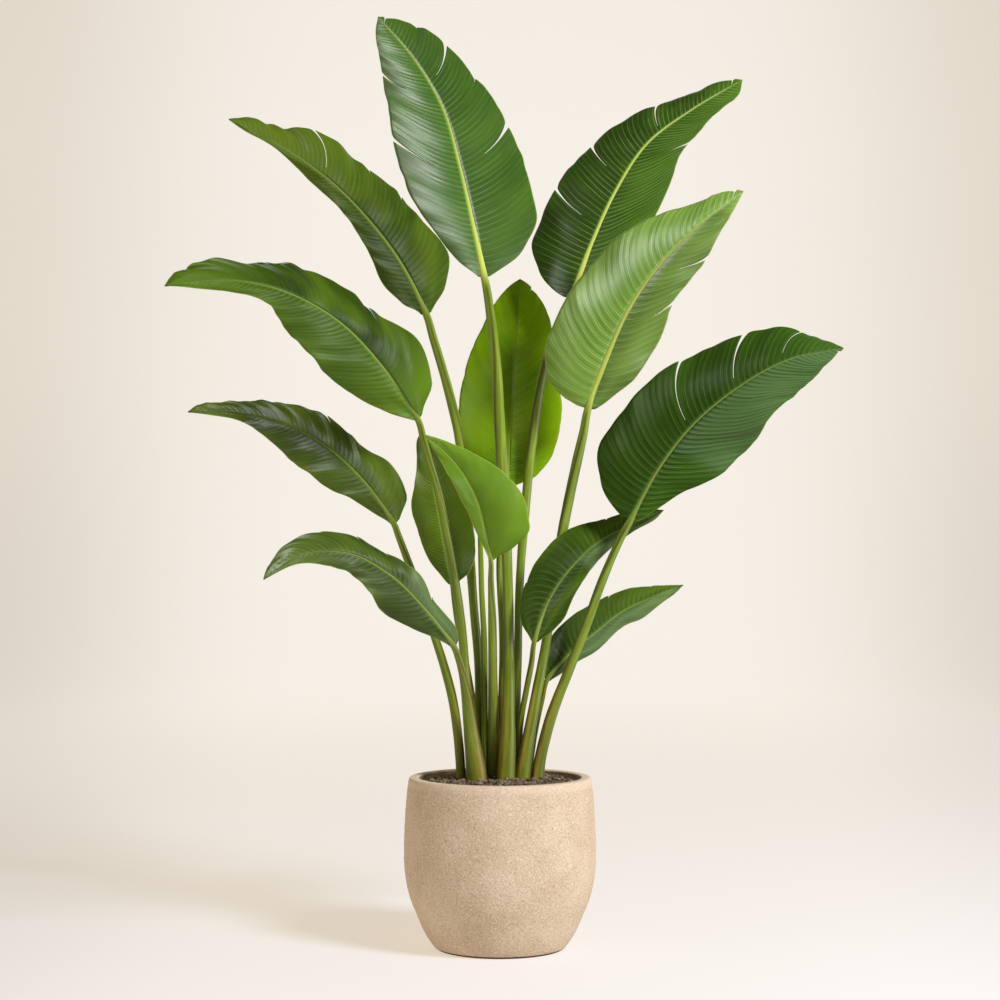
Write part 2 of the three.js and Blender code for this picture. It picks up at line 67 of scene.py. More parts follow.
# Planter: [radius, height] of its outer face from foot to rim.
POT_OUTER = [[99, 0], [103, 3], [117, 23], [130.5, 53], [140.5, 78], [146, 101], [149.5, 128],
             [150, 156], [148.5, 200], [145.5, 240], [143, 260]]
POT_HEIGHT = 265
RIM_OUTER = 138.5
RIM_INNER = 127
WALL = 15
POT_FLOOR = 16
POT_SIDES = 360
POT_STEP = 2.2                    # spacing of the rings of its fine surface
POT_RELIEF = 0.28                 # height of its cast grain
RIM_EASE = 3.2                    # rounding of the rim's outer edge
INNER_EASE = 2.2                  # and of its inner edge

# Soil.
SOIL_EDGE = 252.5                 # height at the wall
SOIL_MIDDLE = 262                 # height in the middle
SOIL_RINGS, SOIL_SIDES = 60, 150
SOIL_CRUMBS = 2600
SOIL_SEED = 41

# Leaves.
STATIONS = [0, 0.03, 0.08, 0.18, 0.32, 0.48, 0.64, 0.8, 0.92, 1]
VEIN_ANGLES = [[0, -20], [0.1, -4], [0.3, 9], [0.6, 18], [0.9, 34], [1, 62]]
VEIN_CURVE = 1.7                  # over 1 bends the veins toward the tip near the margin
BLADE_THICKNESS = 0.8
MARGIN_THICKNESS = 0.4
RIB_TIP_HALF = 0.8                # half width of the midrib at the tip
RIB_TAPER = 0.55                  # under 1 thins the midrib sooner
RIB_SUNK = 0.72                   # radii that a midrib's axis lies under its blade, at the stalk
RIB_SHARE = 0.45                  # the most of a half blade that the midrib takes
RIB_SHOWN = 0.5                   # share of the midrib's width that shows on the upper side
SLIT = 0.6                        # width of a tear where it ends
SHUT_FROM = 0.9                   # a tear whose edges overlap is a crease, open from here out
TEAR_EASE = 18                    # how far along the midrib a tear pushes its edges apart
TEAR_ROUND = 0.05                 # share of the half width that rounds the corner of a tear
ARCH = 0.1                        # how much each half blade bulges toward its upper face
WAVE_OFFSET = 0.37                # turns by which the right margin's waves lead the left's
SWELL_LENGTH = 95                 # of the uneven waves of the margin
PLEAT_ROWS = 3
COLUMNS = 20                      # cells from the midrib to the margin
STALK_SIDES = 26
STALK_STEP = 7.0
FOOT = 215                        # height of the stalks' feet, down in the soil
NEVER = (8000, 9000)              # mm from the tip, beyond any blade
SIDES = ("left", "right")

# What a leaf may leave out: the height of the uneven waves of each margin; the turn of each half in
# degrees, negative to the back; how much each half bulges; small notches, given like tears; where a
# half shows its duller underside colour [side, from, to, share], partly the real underside of a fold
# and partly a painted sheen; how tanned the stalk's foot is; and how much wider the midrib is, and
# how deep it starts, in radii.
PLAIN = dict(swell=[2, 2], lay=[0, 0], arch=[ARCH, ARCH], notches=[], pale=None, rust=0.45, wide=0,
             sunk=RIB_SUNK)

# Each leaf: which way its upper face looks and the tilt of each half in degrees, both at the base
# and the tip; the wave of its margin [height, how many, phase]; its stalk [x, y, z, width] from the
# top of the soil; its midrib [x, y, z]; its half widths at STATIONS, which are fractions of the
# midrib; its tears [side, how far up, depth, opening]; how far forward the side veins of each half
# end, at the base and the tip, in half widths; and where its colours differ from its look's.
LEAVES = [
    dict(name="leaf_01", look="mid", face=[[0.1, -1, 0.25], [0.15, -1, 0.45]], tilt=[[-8, -14],
        [-8, -10]], wave=[5, 3.2, 0.4],
        stalk=[[9, -21, 266, 28], [12, -20, 331, 23], [13, -18, 386, 19], [14, -15, 479, 16],
          [12, -12, 573, 16], [8, -6, 667, 18], [3, 2, 753, 18], [-2, 12, 841, 18], [-7, 22, 920, 17],
          [-14, 30, 984, 15], [-23, 37, 1046, 13]],
        rib=[[-26, 40, 1056], [-45, 62, 1151], [-66, 95, 1246], [-93, 135, 1344], [-142, 180, 1437],
          [-206, 230, 1522]],
        left=[6, 16, 35, 62, 91, 95, 80, 53, 28, 1], right=[7, 30, 72, 109, 110, 97, 83, 65, 38, 1],
        tears=[["left", 0.485, 0.6, 0.8], ["left", 0.755, 0.43, 0.8], ["right", 0.444, 0.6, 7],
          ["right", 0.745, 0.8, 5]],
        shift=[[0.9, 0.9], [0.42, 0.42]], lay=[-10, 6], arch=[0.1, 0.02],
          notches=[["right", 0.62, 0.08, 3], ["right", 0.86, 0.12, 3], ["right", 0.965, 0.85, 4]],
        paint=dict(gloss=0.3, rough=0.42, relief=0.6, lift=(1.3, 0.8))),
    dict(name="leaf_02", look="dark", face=[[0.15, -1, 0.35], [0, -1, 0.75]], tilt=[[-25, -50], [8, -10]],
        wave=[5, 2.6, 0.1],
        stalk=[[-28, 29, 266, 18], [-31, 27, 368, 16], [-34, 22, 446, 14], [-41, 22, 525, 14],
          [-47, 22, 604, 15], [-55, 22, 699, 15], [-64, 23, 794, 15], [-78, 24, 858, 15],
          [-93, 25, 913, 14], [-106, 25, 956, 13], [-117, 25, 994, 12]],
        rib=[[-117, 25, 994], [-158, 45, 1078], [-215, 70, 1156], [-281, 85, 1223], [-358, 95, 1278],
          [-441, 100, 1321]],
        left=[6, 12, 29, 42, 32, 26, 20, 12, 8, 1], right=[6, 20, 48, 76, 70, 70, 69, 46, 29, 1],
        tears=[["right", 0.7, 0.85, 2.2]],
        shift=[[1.0, 1.0], [0.5, 0.6]], swell=[3, 7], notches=[["right", 0.508, 0.12, 3],
          ["right", 0.375, 0.12, 3]],
        paint=dict(gloss=0.06, relief=0.4, greens=[(0.024, 0.05, 0.003), (0.05, 0.088, 0.008)], reach=0.4,
          end_green_and_fold_light=(0.13, 0.2, 0.012), tipward=380, fold=0.012)),
    dict(name="leaf_03", look="dark", face=[[0.1, -1, 0.35], [-0.05, -1, 0.6]], tilt=[[-22, -35],
        [4, -18]], wave=[6, 2.8, 0.3],
        stalk=[[-44, 8, 266, 16], [-48, 0, 340, 15], [-54, -14, 433, 14], [-61, -22, 510, 14],
          [-70, -29, 573, 14], [-81, -33, 635, 13], [-95, -36, 705, 12], [-109, -36, 755, 11],
          [-119, -34, 791, 11], [-128, -30, 823, 10]],
        rib=[[-128, -30, 825], [-182, -65, 903], [-244, -100, 967], [-324, -130, 1010],
          [-412, -150, 1025], [-502, -160, 1015]],
        left=[5, 16, 35, 60, 76, 60, 30, 18, 7, 1], right=[6, 21, 53, 72, 56, 58, 50, 54, 33, 1],
        tears=[["right", 0.662, 0.2, 4], ["right", 0.348, 0.2, 4]],
        shift=[[0.8, 0.8], [0.7, 1.0]], swell=[4, 8],
        paint=dict(gloss=0.13, relief=0.45, greens=[(0.02, 0.046, 0.002), (0.04, 0.08, 0.004)],
          baseward=(340, 440), sides=(1.2, 0.3), lift=(1.35, 0.62), reach=0.5, edge=0.6,
          end_green_and_fold_light=(0.13, 0.24, 0.01), fold=0.016)),
    dict(name="leaf_04", look="dark", face=[[0, -1, 0.3], [0, -1, 0.6]], tilt=[[-20, -30], [0, -12]],
        wave=[5, 2.4, 0.6],
        stalk=[[-61, -2, 266, 14], [-65, -1, 322, 14], [-74, 0, 385, 14], [-88, 2, 439, 14],
          [-106, 4, 494, 13], [-125, 6, 549, 13], [-144, 8, 600, 12], [-161, 10, 645, 11],
          [-167, 10, 661, 10]],
        rib=[[-166, 10, 662], [-214, 25, 727], [-273, 45, 782], [-344, 65, 821], [-423, 80, 841],
          [-504, 90, 843]],
        left=[5, 8, 17, 34, 54, 49, 32, 12, 4, 1], right=[6, 19, 42, 52, 40, 48, 40, 29, 22, 1],
        tears=[["right", 0.619, 0.2, 4], ["right", 0.469, 0.2, 4]],
        shift=[[0.7, 0.9], [0.8, 1.2]], swell=[4, 7], notches=[["right", 0.745, 0.15, 3]],
        paint=dict(gloss=0.11, relief=0.4, tipward=110, end_green_and_fold_light=(0.22, 0.33, 0.02),
          greens=[(0.045, 0.084, 0.007), (0.09, 0.135, 0.017)], fold=0.012)),
    dict(name="leaf_05", look="dark", face=[[0.1, -1, 0.35], [-0.1, -1, 0.5]], tilt=[[-18, -25],
        [0, -15]], wave=[4, 2.6, 0],
        stalk=[[-36, -24, 266, 31], [-44, -29, 332, 23], [-51, -37, 386, 16], [-58, -50, 430, 12],
          [-65, -62, 456, 10], [-71, -70, 472, 10]],
        rib=[[-70, -70, 473], [-114, -100, 530], [-164, -130, 581], [-225, -155, 614], [-293, -170, 613],
          [-351, -175, 576]],
        left=[5, 8, 16, 35, 50, 37, 25, 16, 6, 1], right=[6, 15, 21, 20, 31, 28, 38, 33, 22, 1],
        tears=[["right", 0.221, 0.4, 3], ["right", 0.585, 0.25, 3]],
        shift=[[0.7, 0.9], [0.8, 1.2]], swell=[4, 6], pale=["right", 0.0, 0.32, 0.4],
          notches=[["right", 0.705, 0.15, 3], ["right", 0.468, 0.2, 3]],
        paint=dict(gloss=0.2, relief=0.45, tipward=170, end_green_and_fold_light=(0.14, 0.22, 0.015),
          greens=[(0.02, 0.04, 0.003), (0.042, 0.07, 0.008)], fold=0.012)),
    dict(name="leaf_06", look="mid", face=[[-0.15, -1, 0.25], [0, -1, 0.5]], tilt=[[-10, -20],
        [-10, -18]], wave=[5, 3.1, 0.2],
        stalk=[[22, 24, 266, 14], [25, 25, 351, 13], [28, 29, 446, 13], [30, 35, 541, 13],
          [34, 39, 612, 14], [40, 43, 683, 15], [46, 48, 748, 15], [53, 53, 803, 15], [61, 58, 860, 15],
          [73, 63, 921, 14], [91, 68, 976, 12], [114, 70, 1026, 11]],
        rib=[[114, 70, 1026], [149, 105, 1118], [190, 145, 1210], [246, 190, 1299], [327, 235, 1367],
          [415, 275, 1425]],
        left=[8, 34, 68, 104, 104, 94, 67, 45, 31, 1], right=[6, 28, 62, 80, 78, 74, 51, 35, 27, 1],
        tears=[["left", 0.32, 0.7, 0.6], ["left", 0.493, 0.64, 2], ["left", 0.695, 0.85, 3],
          ["right", 0.669, 0.5, 0.5]],
        wide=0.3, shift=[[0.35, 0.35], [1.3, 1.3]], notches=[["left", 0.955, 0.8, 5]],
        paint=dict(relief=0.5, gloss=0.07, greens=[(0.018, 0.042, 0.003), (0.03, 0.066, 0.006)],
          lift=(0.9, 1.35), sides=(1.0, 1.2), reach=0.6)),
    dict(name="leaf_07", look="light", face=[[-0.15, -1, 0.15], [-0.2, -1, 0.45]], tilt=[[-8, -18],
        [-12, -22]], wave=[5, 2.9, 0.5],
        stalk=[[35, -12, 266, 23], [41, -12, 306, 20], [49, -11, 353, 17], [61, -8, 416, 16],
          [67, -5, 447, 15], [74, -2, 487, 15], [80, 3, 534, 15], [88, 5, 581, 15], [96, 5, 635, 16],
          [108, 0, 698, 16], [121, -8, 760, 16], [131, -13, 805, 14], [138, -15, 842, 12]],
        rib=[[138, -15, 842], [166, -32, 919], [200, -50, 994], [248, -65, 1062], [307, -75, 1120],
          [374, -75, 1171]],
        left=[9, 45, 84, 106, 105, 100, 77, 48, 28, 1], right=[7, 17, 31, 56, 65, 57, 52, 36, 16, 1],
        tears=[["right", 0.472, 0.33, 3], ["right", 0.688, 0.43, 4], ["left", 0.845, 0.2, 4]],
        rust=0.8, wide=0.45, sunk=0.5, shift=[[0.4, 0.5], [0.8, 1.1]], swell=[1.5, 2],
          notches=[["left", 0.955, 0.8, 5]],
        paint=dict(gloss=0.14, relief=0.6, lift=(1.3, 0.7))),
    dict(name="leaf_08", look="deep", face=[[-0.1, -1, 0.35], [0, -1, 0.6]], tilt=[[0, -18], [-14, -32]],
        wave=[6, 3, 0.1],
        stalk=[[59, -5, 266, 19], [63, -5, 295, 17], [78, -7, 354, 17], [90, -8, 388, 16],
          [104, -11, 423, 16], [118, -14, 459, 15], [132, -18, 495, 15], [155, -28, 561, 14],
          [172, -36, 604, 13], [186, -43, 635, 12], [200, -53, 663, 11]],
        rib=[[200, -53, 665], [243, -75, 743], [295, -95, 811], [361, -115, 866], [435, -125, 907],
          [519, -125, 925]],
        left=[8, 30, 67, 105, 106, 101, 88, 65, 30, 1], right=[6, 15, 27, 50, 87, 83, 66, 47, 22, 1],
        tears=[["left", 0.458, 0.9, 0.2], ["left", 0.66, 0.85, 7], ["left", 0.823, 0.79, 1.2]],
        rust=1.0, shift=[[0.25, 0.3], [0.9, 1.1]], swell=[4, 3], pale=["right", 0.3, 1.0, 0.3],
          notches=[["right", 0.97, 0.6, 4]],
        paint=dict(gloss=0.02, rough=0.3, greens=[(0.02, 0.05, 0.003), (0.034, 0.078, 0.006)],
          lift=(0.85, 1.35), sides=(1.0, 2.2), reach=0.6)),
    dict(name="leaf_09", look="dark", face=[[-0.1, -1, 0.3], [0, -1, 0.5]], tilt=[[12, 0], [-16, -24]],
        wave=[4, 2.2, 0.3],
        stalk=[[30, 8, 266, 10], [30, 3, 314, 9], [33, -3, 356, 9], [41, -18, 401, 9], [49, -33, 445, 9],
          [53, -45, 478, 8]],
        rib=[[53, -45, 478], [72, -38, 533], [104, -36, 584], [147, -20, 626], [201, 10, 656],
          [260, 45, 683]],
        left=[4, 12, 28, 43, 50, 47, 35, 25, 13, 1], right=[4, 10, 22, 34, 30, 23, 18, 12, 9, 1],
        tears=[["left", 0.22, 0.7, -2.2]],
        shift=[[-0.8, 0.5], [0.8, 1.0]], pale=["right", 0.45, 1.0, 0.4],
          notches=[["left", 0.672, 0.15, 3]],
        paint=dict(gloss=0.04, relief=0.45, greens=[(0.018, 0.039, 0.002), (0.033, 0.065, 0.005)])),
    dict(name="leaf_10", look="dark", face=[[0, -1, 0.35], [0, -1, 0.5]], tilt=[[0, -10], [-20, -30]],
        wave=[3, 2.6, 0.4],
        stalk=[[46, 12, 266, 9], [52, 11, 317, 9], [59, 10, 355, 9], [66, 8, 385, 8], [74, 5, 416, 8]],
        rib=[[74, 5, 416], [109, 20, 455], [151, 40, 488], [195, 65, 520], [245, 90, 543],
          [297, 110, 563]],
        left=[5, 10, 21, 41, 46, 43, 36, 23, 11, 1], right=[4, 6, 11, 18, 24, 21, 26, 17, 10, 1],
        tears=[],
        shift=[[0.4, 0.5], [0.9, 1.0]], pale=["right", 0.05, 1.0, 0.4], notches=[["left", 0.8, 0.12, 3],
          ["left", 0.573, 0.15, 3]],
        paint=dict(gloss=0.15, relief=0.45, greens=[(0.02, 0.042, 0.004), (0.042, 0.072, 0.009)])),
    dict(name="leaf_11", look="bright", face=[[0, -1, 0.2], [0.05, -1, 0.4]], tilt=[[-6, -12], [-6, -12]],
        wave=[4, 2.4, 0.2],
        stalk=[[2, 26, 266, 13], [3, 28, 383, 12], [4, 32, 477, 11], [-1, 44, 600, 10], [4, 56, 684, 8],
          [11, 60, 722, 8]],
        rib=[[11, 60, 722], [15, 80, 790], [19, 105, 858], [22, 130, 928], [28, 155, 999],
          [33, 180, 1070]],
        left=[5, 22, 48, 73, 88, 83, 69, 48, 24, 1], right=[5, 20, 48, 73, 84, 80, 70, 55, 28, 1],
        tears=[["right", 0.92, 0.2, 3]],
        shift=[[0.7, 0.7], [0.7, 0.7]], swell=[1, 1],
        paint=dict(gloss=0.04, greens=[(0.055, 0.13, 0.001), (0.17, 0.3, 0.002)], sides=(1.0, 1.6),
          lift=(0.95, 1.6), edge=0.5)),
    dict(name="leaf_12", look="young", face=[[0.1, -1, 0.05], [-0.1, -1, 0.05]], tilt=[[12, 8], [10, 6]],
        wave=[2, 1.6, 0.2],
        stalk=[[-10, 1, 266, 18], [-10, -3, 331, 17], [-11, -16, 416, 15], [-12, -44, 512, 13],
          [-14, -66, 573, 9], [-14, -75, 604, 8]],
        rib=[[-14, -75, 604], [-23, -95, 649], [-34, -110, 693], [-54, -118, 733], [-82, -118, 768],
          [-118, -112, 796]],
        left=[3, 4, 6, 12, 19, 24, 22, 15, 6, 1], right=[4, 12, 38, 69, 70, 54, 33, 16, 7, 1],
        tears=[],
        shift=[[0.6, 0.6], [0.6, 0.6]], swell=[0.5, 0.5],
        paint=dict(gloss=0.1, relief=0.12, sides=(0.5, 0.5), lift=(0.72, 0.93))),
    dict(name="leaf_13", look="young", face=[[-0.25, -1, 0.15], [-0.2, -1, 0.2]], tilt=[[-6, -8],
        [-6, -8]], wave=[3, 1.8, 0.1],
        stalk=[[-31, 12, 266, 9], [-38, 12, 353, 9], [-54, 9, 447, 9], [-68, 6, 510, 8], [-75, 5, 566, 8]],
        rib=[[-75, 5, 566], [-84, 5, 614], [-93, 0, 662], [-102, 0, 709], [-111, 5, 757], [-124, 10, 804]],
        left=[4, 9, 16, 31, 41, 45, 32, 22, 15, 1], right=[5, 14, 32, 45, 50, 46, 36, 24, 12, 1],
        tears=[],
        shift=[[0.6, 0.6], [0.6, 0.6]], swell=[1, 1],
        paint=dict(gloss=0.12, greens=[(0.019, 0.037, 0.001), (0.037, 0.062, 0.002)], lift=(2.7, 1.3),
          end_green_and_fold_light=(0.065, 0.095, 0.003))),
]
LEAVES = [{**PLAIN, **leaf} for leaf in LEAVES]
for leaf in LEAVES:               # each stalk goes straight down through the soil to its foot
    leaf["stalk"].insert(0, [*leaf["stalk"][0][:2], FOOT, leaf["stalk"][0][3]])

# The rolled new leaf: [x, y, z, width].
NEW_LEAF = [[-24, 2, 215, 10], [-24, 2, 265, 10], [-24, 2, 385, 10], [-25, 2, 479, 10],
            [-29, 1, 557, 9], [-31, 0, 628, 8], [-35, -4, 706, 2]]

# Colours and finish of the blades, first what most looks share. fresh: the lighter green of the tip,
# from tipward mm down, and of the base, between the two places of baseward; it is also laid on the
# tops of the broad folds as painted light. edge: how much the outer part pales. lift: painted light
# and shade on each half, one half made brighter or darker for how the light falls on it. sides and
# reach: how strongly the pleats show on each half, and out at the margin, with painted shade in their
# valleys. pleat: their spacing. relief and fold: height of the pleats and of the broad folds. rib:
# how yellow the midrib is, and how deep in radii its tip sits.
SHARED = dict(edge=0.2, sides=(1.0, 1.0), reach=0.3, fold=0.006, tipward=40, baseward=NEVER,
              lift=(1.0, 1.0))
LOOKS = {
    "deep": dict(end_green_and_fold_light=(0.05, 0.12, 0.014), vein=(0.12, 0.22, 0.06), margin=(0.2, 0.3, 0.05),
        under=(0.13, 0.2, 0.1), pleat=9.5, relief=0.8, tipward=120, rib=(0.2, 0.7)),
    "dark": dict(end_green_and_fold_light=(0.1, 0.17, 0.012), vein=(0.14, 0.26, 0.06), margin=(0.25, 0.34, 0.05),
        under=(0.15, 0.23, 0.1), pleat=9, rough=0.38, edge=0.25, fold=0.025, tipward=220, rib=(0.2, 0.7)),
    "mid": dict(end_green_and_fold_light=(0.07, 0.15, 0.01), greens=[(0.03, 0.082, 0.006), (0.05, 0.12, 0.01)],
        vein=(0.3, 0.45, 0.13), margin=(0.36, 0.45, 0.1), under=(0.18, 0.27, 0.11), pleat=9.5, rough=0.36,
        sides=(1.0, 0.9), reach=0.25, tipward=120, rib=(1.0, 0.58)),
    "light": dict(end_green_and_fold_light=(0.2, 0.32, 0.05), greens=[(0.1, 0.19, 0.022), (0.16, 0.28, 0.04)],
        vein=(0.46, 0.62, 0.28), margin=(0.42, 0.5, 0.16), under=(0.26, 0.36, 0.15), pleat=12, rough=0.34,
        sides=(1.0, 0.6), reach=0.8, tipward=60, rib=(0.9, 0.6)),
    # painted light through the blade: leaf_11's yellow-green stands for light shining through it
    "bright": dict(end_green_and_fold_light=(0.2, 0.34, 0.008), vein=(0.25, 0.38, 0.02), margin=(0.4, 0.46, 0.05),
        under=(0.3, 0.4, 0.08), pleat=4.5, rough=0.42, relief=0.5, rib=(0.3, 0.76)),
    "young": dict(end_green_and_fold_light=(0.16, 0.28, 0.02), greens=[(0.08, 0.18, 0.006), (0.14, 0.26, 0.012)],
        vein=(0.24, 0.38, 0.06), margin=(0.34, 0.42, 0.08), under=(0.26, 0.36, 0.1), pleat=5, rough=0.4,
        relief=0.3, rib=(0.4, 0.76)),
}


# ---------------------------------------------------------------- curves

def unit(v):
    return v / np.linalg.norm(v, axis=-1, keepdims=True)


class Path:
    """A smooth path through points of any number of values, read by the share of its length."""

    def __init__(self, points, samples=1200):
        p = np.array(points, float)
        steps = np.sqrt(np.linalg.norm(np.diff(p[:, :3], axis=0), axis=1))
        knots = np.concatenate([[0], np.cumsum(steps)])
        ends = [2 * knots[0] - knots[1]], [2 * knots[-1] - knots[-2]]
        knots = np.concatenate([ends[0], knots, ends[1]])
        p = np.vstack([2 * p[0] - p[1], p, 2 * p[-1] - p[-2]])
        t = np.linspace(knots[1], knots[-2], samples)
        k = np.clip(np.searchsorted(knots, t, side="right") - 2, 0, len(p) - 4)
        at = [knots[k + j][:, None] for j in range(4)]
        q = [p[k + j] for j in range(4)]
        t = t[:, None]
        for spans in (((0, 1), (1, 2), (2, 3)), ((0, 2), (1, 3)), ((1, 2),)):
            q = [(at[j] - t) / (at[j] - at[i]) * a + (t - at[i]) / (at[j] - at[i]) * b
                 for (i, j), a, b in zip(spans, q, q[1:])]
        self.points = q[0]
        lengths = np.linalg.norm(np.diff(self.points[:, :3], axis=0), axis=1)
        self.run = np.concatenate([[0], np.cumsum(lengths)])
        self.length = self.run[-1]

    def at(self, u):
        s = np.atleast_1d(u) * self.length
        return np.stack([np.interp(s, self.run, c) for c in self.points.T], axis=-1)

    def tangent(self, u, reach=0.006):
        u = np.atleast_1d(u)
        ahead, behind = self.at(np.minimum(u + reach, 1)), self.at(np.maximum(u - reach, 0))
        return unit(ahead[:, :3] - behind[:, :3])


def read_width(widths, u):
    """The half width at fractions of the midrib, smooth and without overshoot."""
    x, y = np.array(STATIONS, float), np.array(widths, float)
    h = np.diff(x)
    d = np.diff(y) / h
    m = np.concatenate([[d[0]], np.zeros(len(x) - 2), [d[-1]]])
    for k in range(1, len(x) - 1):
        if d[k - 1] * d[k] > 0:
            w0, w1 = 2 * h[k] + h[k - 1], h[k] + 2 * h[k - 1]
            m[k] = (w0 + w1) / (w0 / d[k - 1] + w1 / d[k])
    k = np.clip(np.searchsorted(x, u, side="right") - 1, 0, len(h) - 1)
    t = (u - x[k]) / h[k]
    return ((1 + 2 * t) * (1 - t) ** 2 * y[k] + t * (1 - t) ** 2 * h[k] * m[k]
            + t * t * (3 - 2 * t) * y[k + 1] + t * t * (t - 1) * h[k] * m[k + 1])


def smooth(x, low, high):
    t = np.clip((x - low) / (high - low), 0, 1)
    return t * t * (3 - 2 * t)


def ripple(x, seed, count=4):
    """A repeatable uneven wave of about -1 to 1, whose coarsest waves are as long as x's unit."""
    draw = np.random.default_rng(seed)
    total = np.zeros_like(x)
    for k in range(count):
        turns = x * 2 * math.pi * (k + draw.uniform(0.6, 1.4))
        total = total + np.sin(turns + draw.uniform(0, 6.3)) / (k + 1)
    return total / 1.6


# ---------------------------------------------------------------- meshes

def make_piece(name, points, faces, material, smooth_shade=True, values=None, parts=None):
    """A mesh piece from points in millimetres. Each of values gives a number to every point, or to
    every ring or every turn of a tube."""
    mesh = bpy.data.meshes.new(name)
    mesh.from_pydata([tuple(p) for p in (points * MM).reshape(-1, 3)], [],
                     [tuple(map(int, f)) for f in faces])
    for key, numbers in (values or {}).items():
        layer = mesh.attributes.new(key, "FLOAT", "POINT")
        each = np.broadcast_to(numbers, points.shape[:-1])
        layer.data.foreach_set("value", each.astype(np.float32).ravel())
    for each in material if isinstance(material, list) else [material]:
        mesh.materials.append(each)
    if parts is not None:
        mesh.polygons.foreach_set("material_index", parts)
    if smooth_shade:
        mesh.polygons.foreach_set("use_smooth", [True] * len(mesh.polygons))
    mesh.update()
    piece = bpy.data.objects.new(name, mesh)
    bpy.context.scene.collection.objects.link(piece)
    return piece


def dress(piece, node):
    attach(piece, "root")
    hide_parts(node)


def grid_faces(rows, columns, wrap=False):
    wide = columns if wrap else columns - 1
    i, j = np.meshgrid(np.arange(rows - 1), np.arange(wide), indexing="ij")
    a, b = i * columns + j, i * columns + (j + 1) % columns
    return np.stack([a, b, b + columns, a + columns], axis=-1).reshape(-1, 4)


def tube_faces(rings, sides):
    """The wall of a tube, then the cap of its first ring and the cap of its last."""
    faces = [tuple(f) for f in grid_faces(rings, sides, wrap=True)]
    faces.append(tuple(range(sides))[::-1])
    faces.append(tuple((rings - 1) * sides + k for k in range(sides)))
    return faces


def ring_points(centre, across, up, turn, radius, swell=1):
    """Rings of points round a path, at each turn from its upper side."""
    return (centre[:, None] + across[:, None] * (np.sin(turn)[None] * radius * swell)[..., None]
            + up[:, None] * (np.cos(turn)[None] * radius * swell)[..., None])


# ---------------------------------------------------------------- materials

class Paint:
    """A node material in the making."""

    def __init__(self, name):
        self.material = bpy.data.materials.new(name)
        self.material.use_nodes = True
        self.tree = self.material.node_tree
        self.shader = self.tree.nodes["Principled BSDF"]

    def put(self, socket, value):
        if isinstance(value, bpy.types.NodeSocket):
            self.tree.links.new(value, socket)
        else:
            if socket.type == "RGBA" and len(value) == 3:
                value = (*value, 1)
            socket.default_value = value

    def node(self, kind, values, **settings):
        made = self.tree.nodes.new("ShaderNode" + kind)
        for key, value in settings.items():
            setattr(made, key, value)
        for key, value in values.items():
            self.put(made.inputs[key], value)
        return made

    def attribute(self, name):
        return self.node("Attribute", {}, attribute_name=name).outputs["Fac"]

    def place(self):
        return self.node("TexCoord", {}).outputs["Object"]

    def math(self, operation, a, b=0.0):
        return self.node("Math", {0: a, 1: b}, operation=operation).outputs[0]

    def times(self, a, b):
        return self.math("MULTIPLY", a, b)

    def span(self, value, low, high, start=0.0, end=1.0):
        """Eases from start to end while the value goes from low to high."""
        made = self.node("MapRange", {"Value": value, "From Min": low, "From Max": high,
                                      "To Min": start, "To Max": end},
                         interpolation_type="SMOOTHSTEP")
        return made.outputs["Result"]

    def mix(self, share, a, b, blend="MIX"):
        made = self.node("Mix", {0: share, 6: a, 7: b}, data_type="RGBA", blend_type=blend)
        return made.outputs[2]

    def over(self, color, *layers):
        """Colours laid over this one: [share, strength, colour] of each."""
        for share, strength, other in layers:
            color = self.mix(self.times(share, strength), color, other)
        return color

    def noise(self, place, scale, detail=3.0, rough=0.5):
        made = self.node("TexNoise", {"Vector": place, "Scale": scale, "Detail": detail,
                                      "Roughness": rough})
        return made.outputs["Fac"]

    def join(self, x, y, z):
        return self.node("CombineXYZ", {0: x, 1: y, 2: z}).outputs[0]

    def bump(self, height, strength, distance, normal=None):
        values = {"Height": height, "Strength": strength, "Distance": distance}
        if normal is not None:
            values["Normal"] = normal
        return self.node("Bump", values).outputs["Normal"]

    def finish(self, **sockets):
        for key, value in sockets.items():
            self.put(self.shader.inputs[key.replace("_", " ")], value)
        return self.material


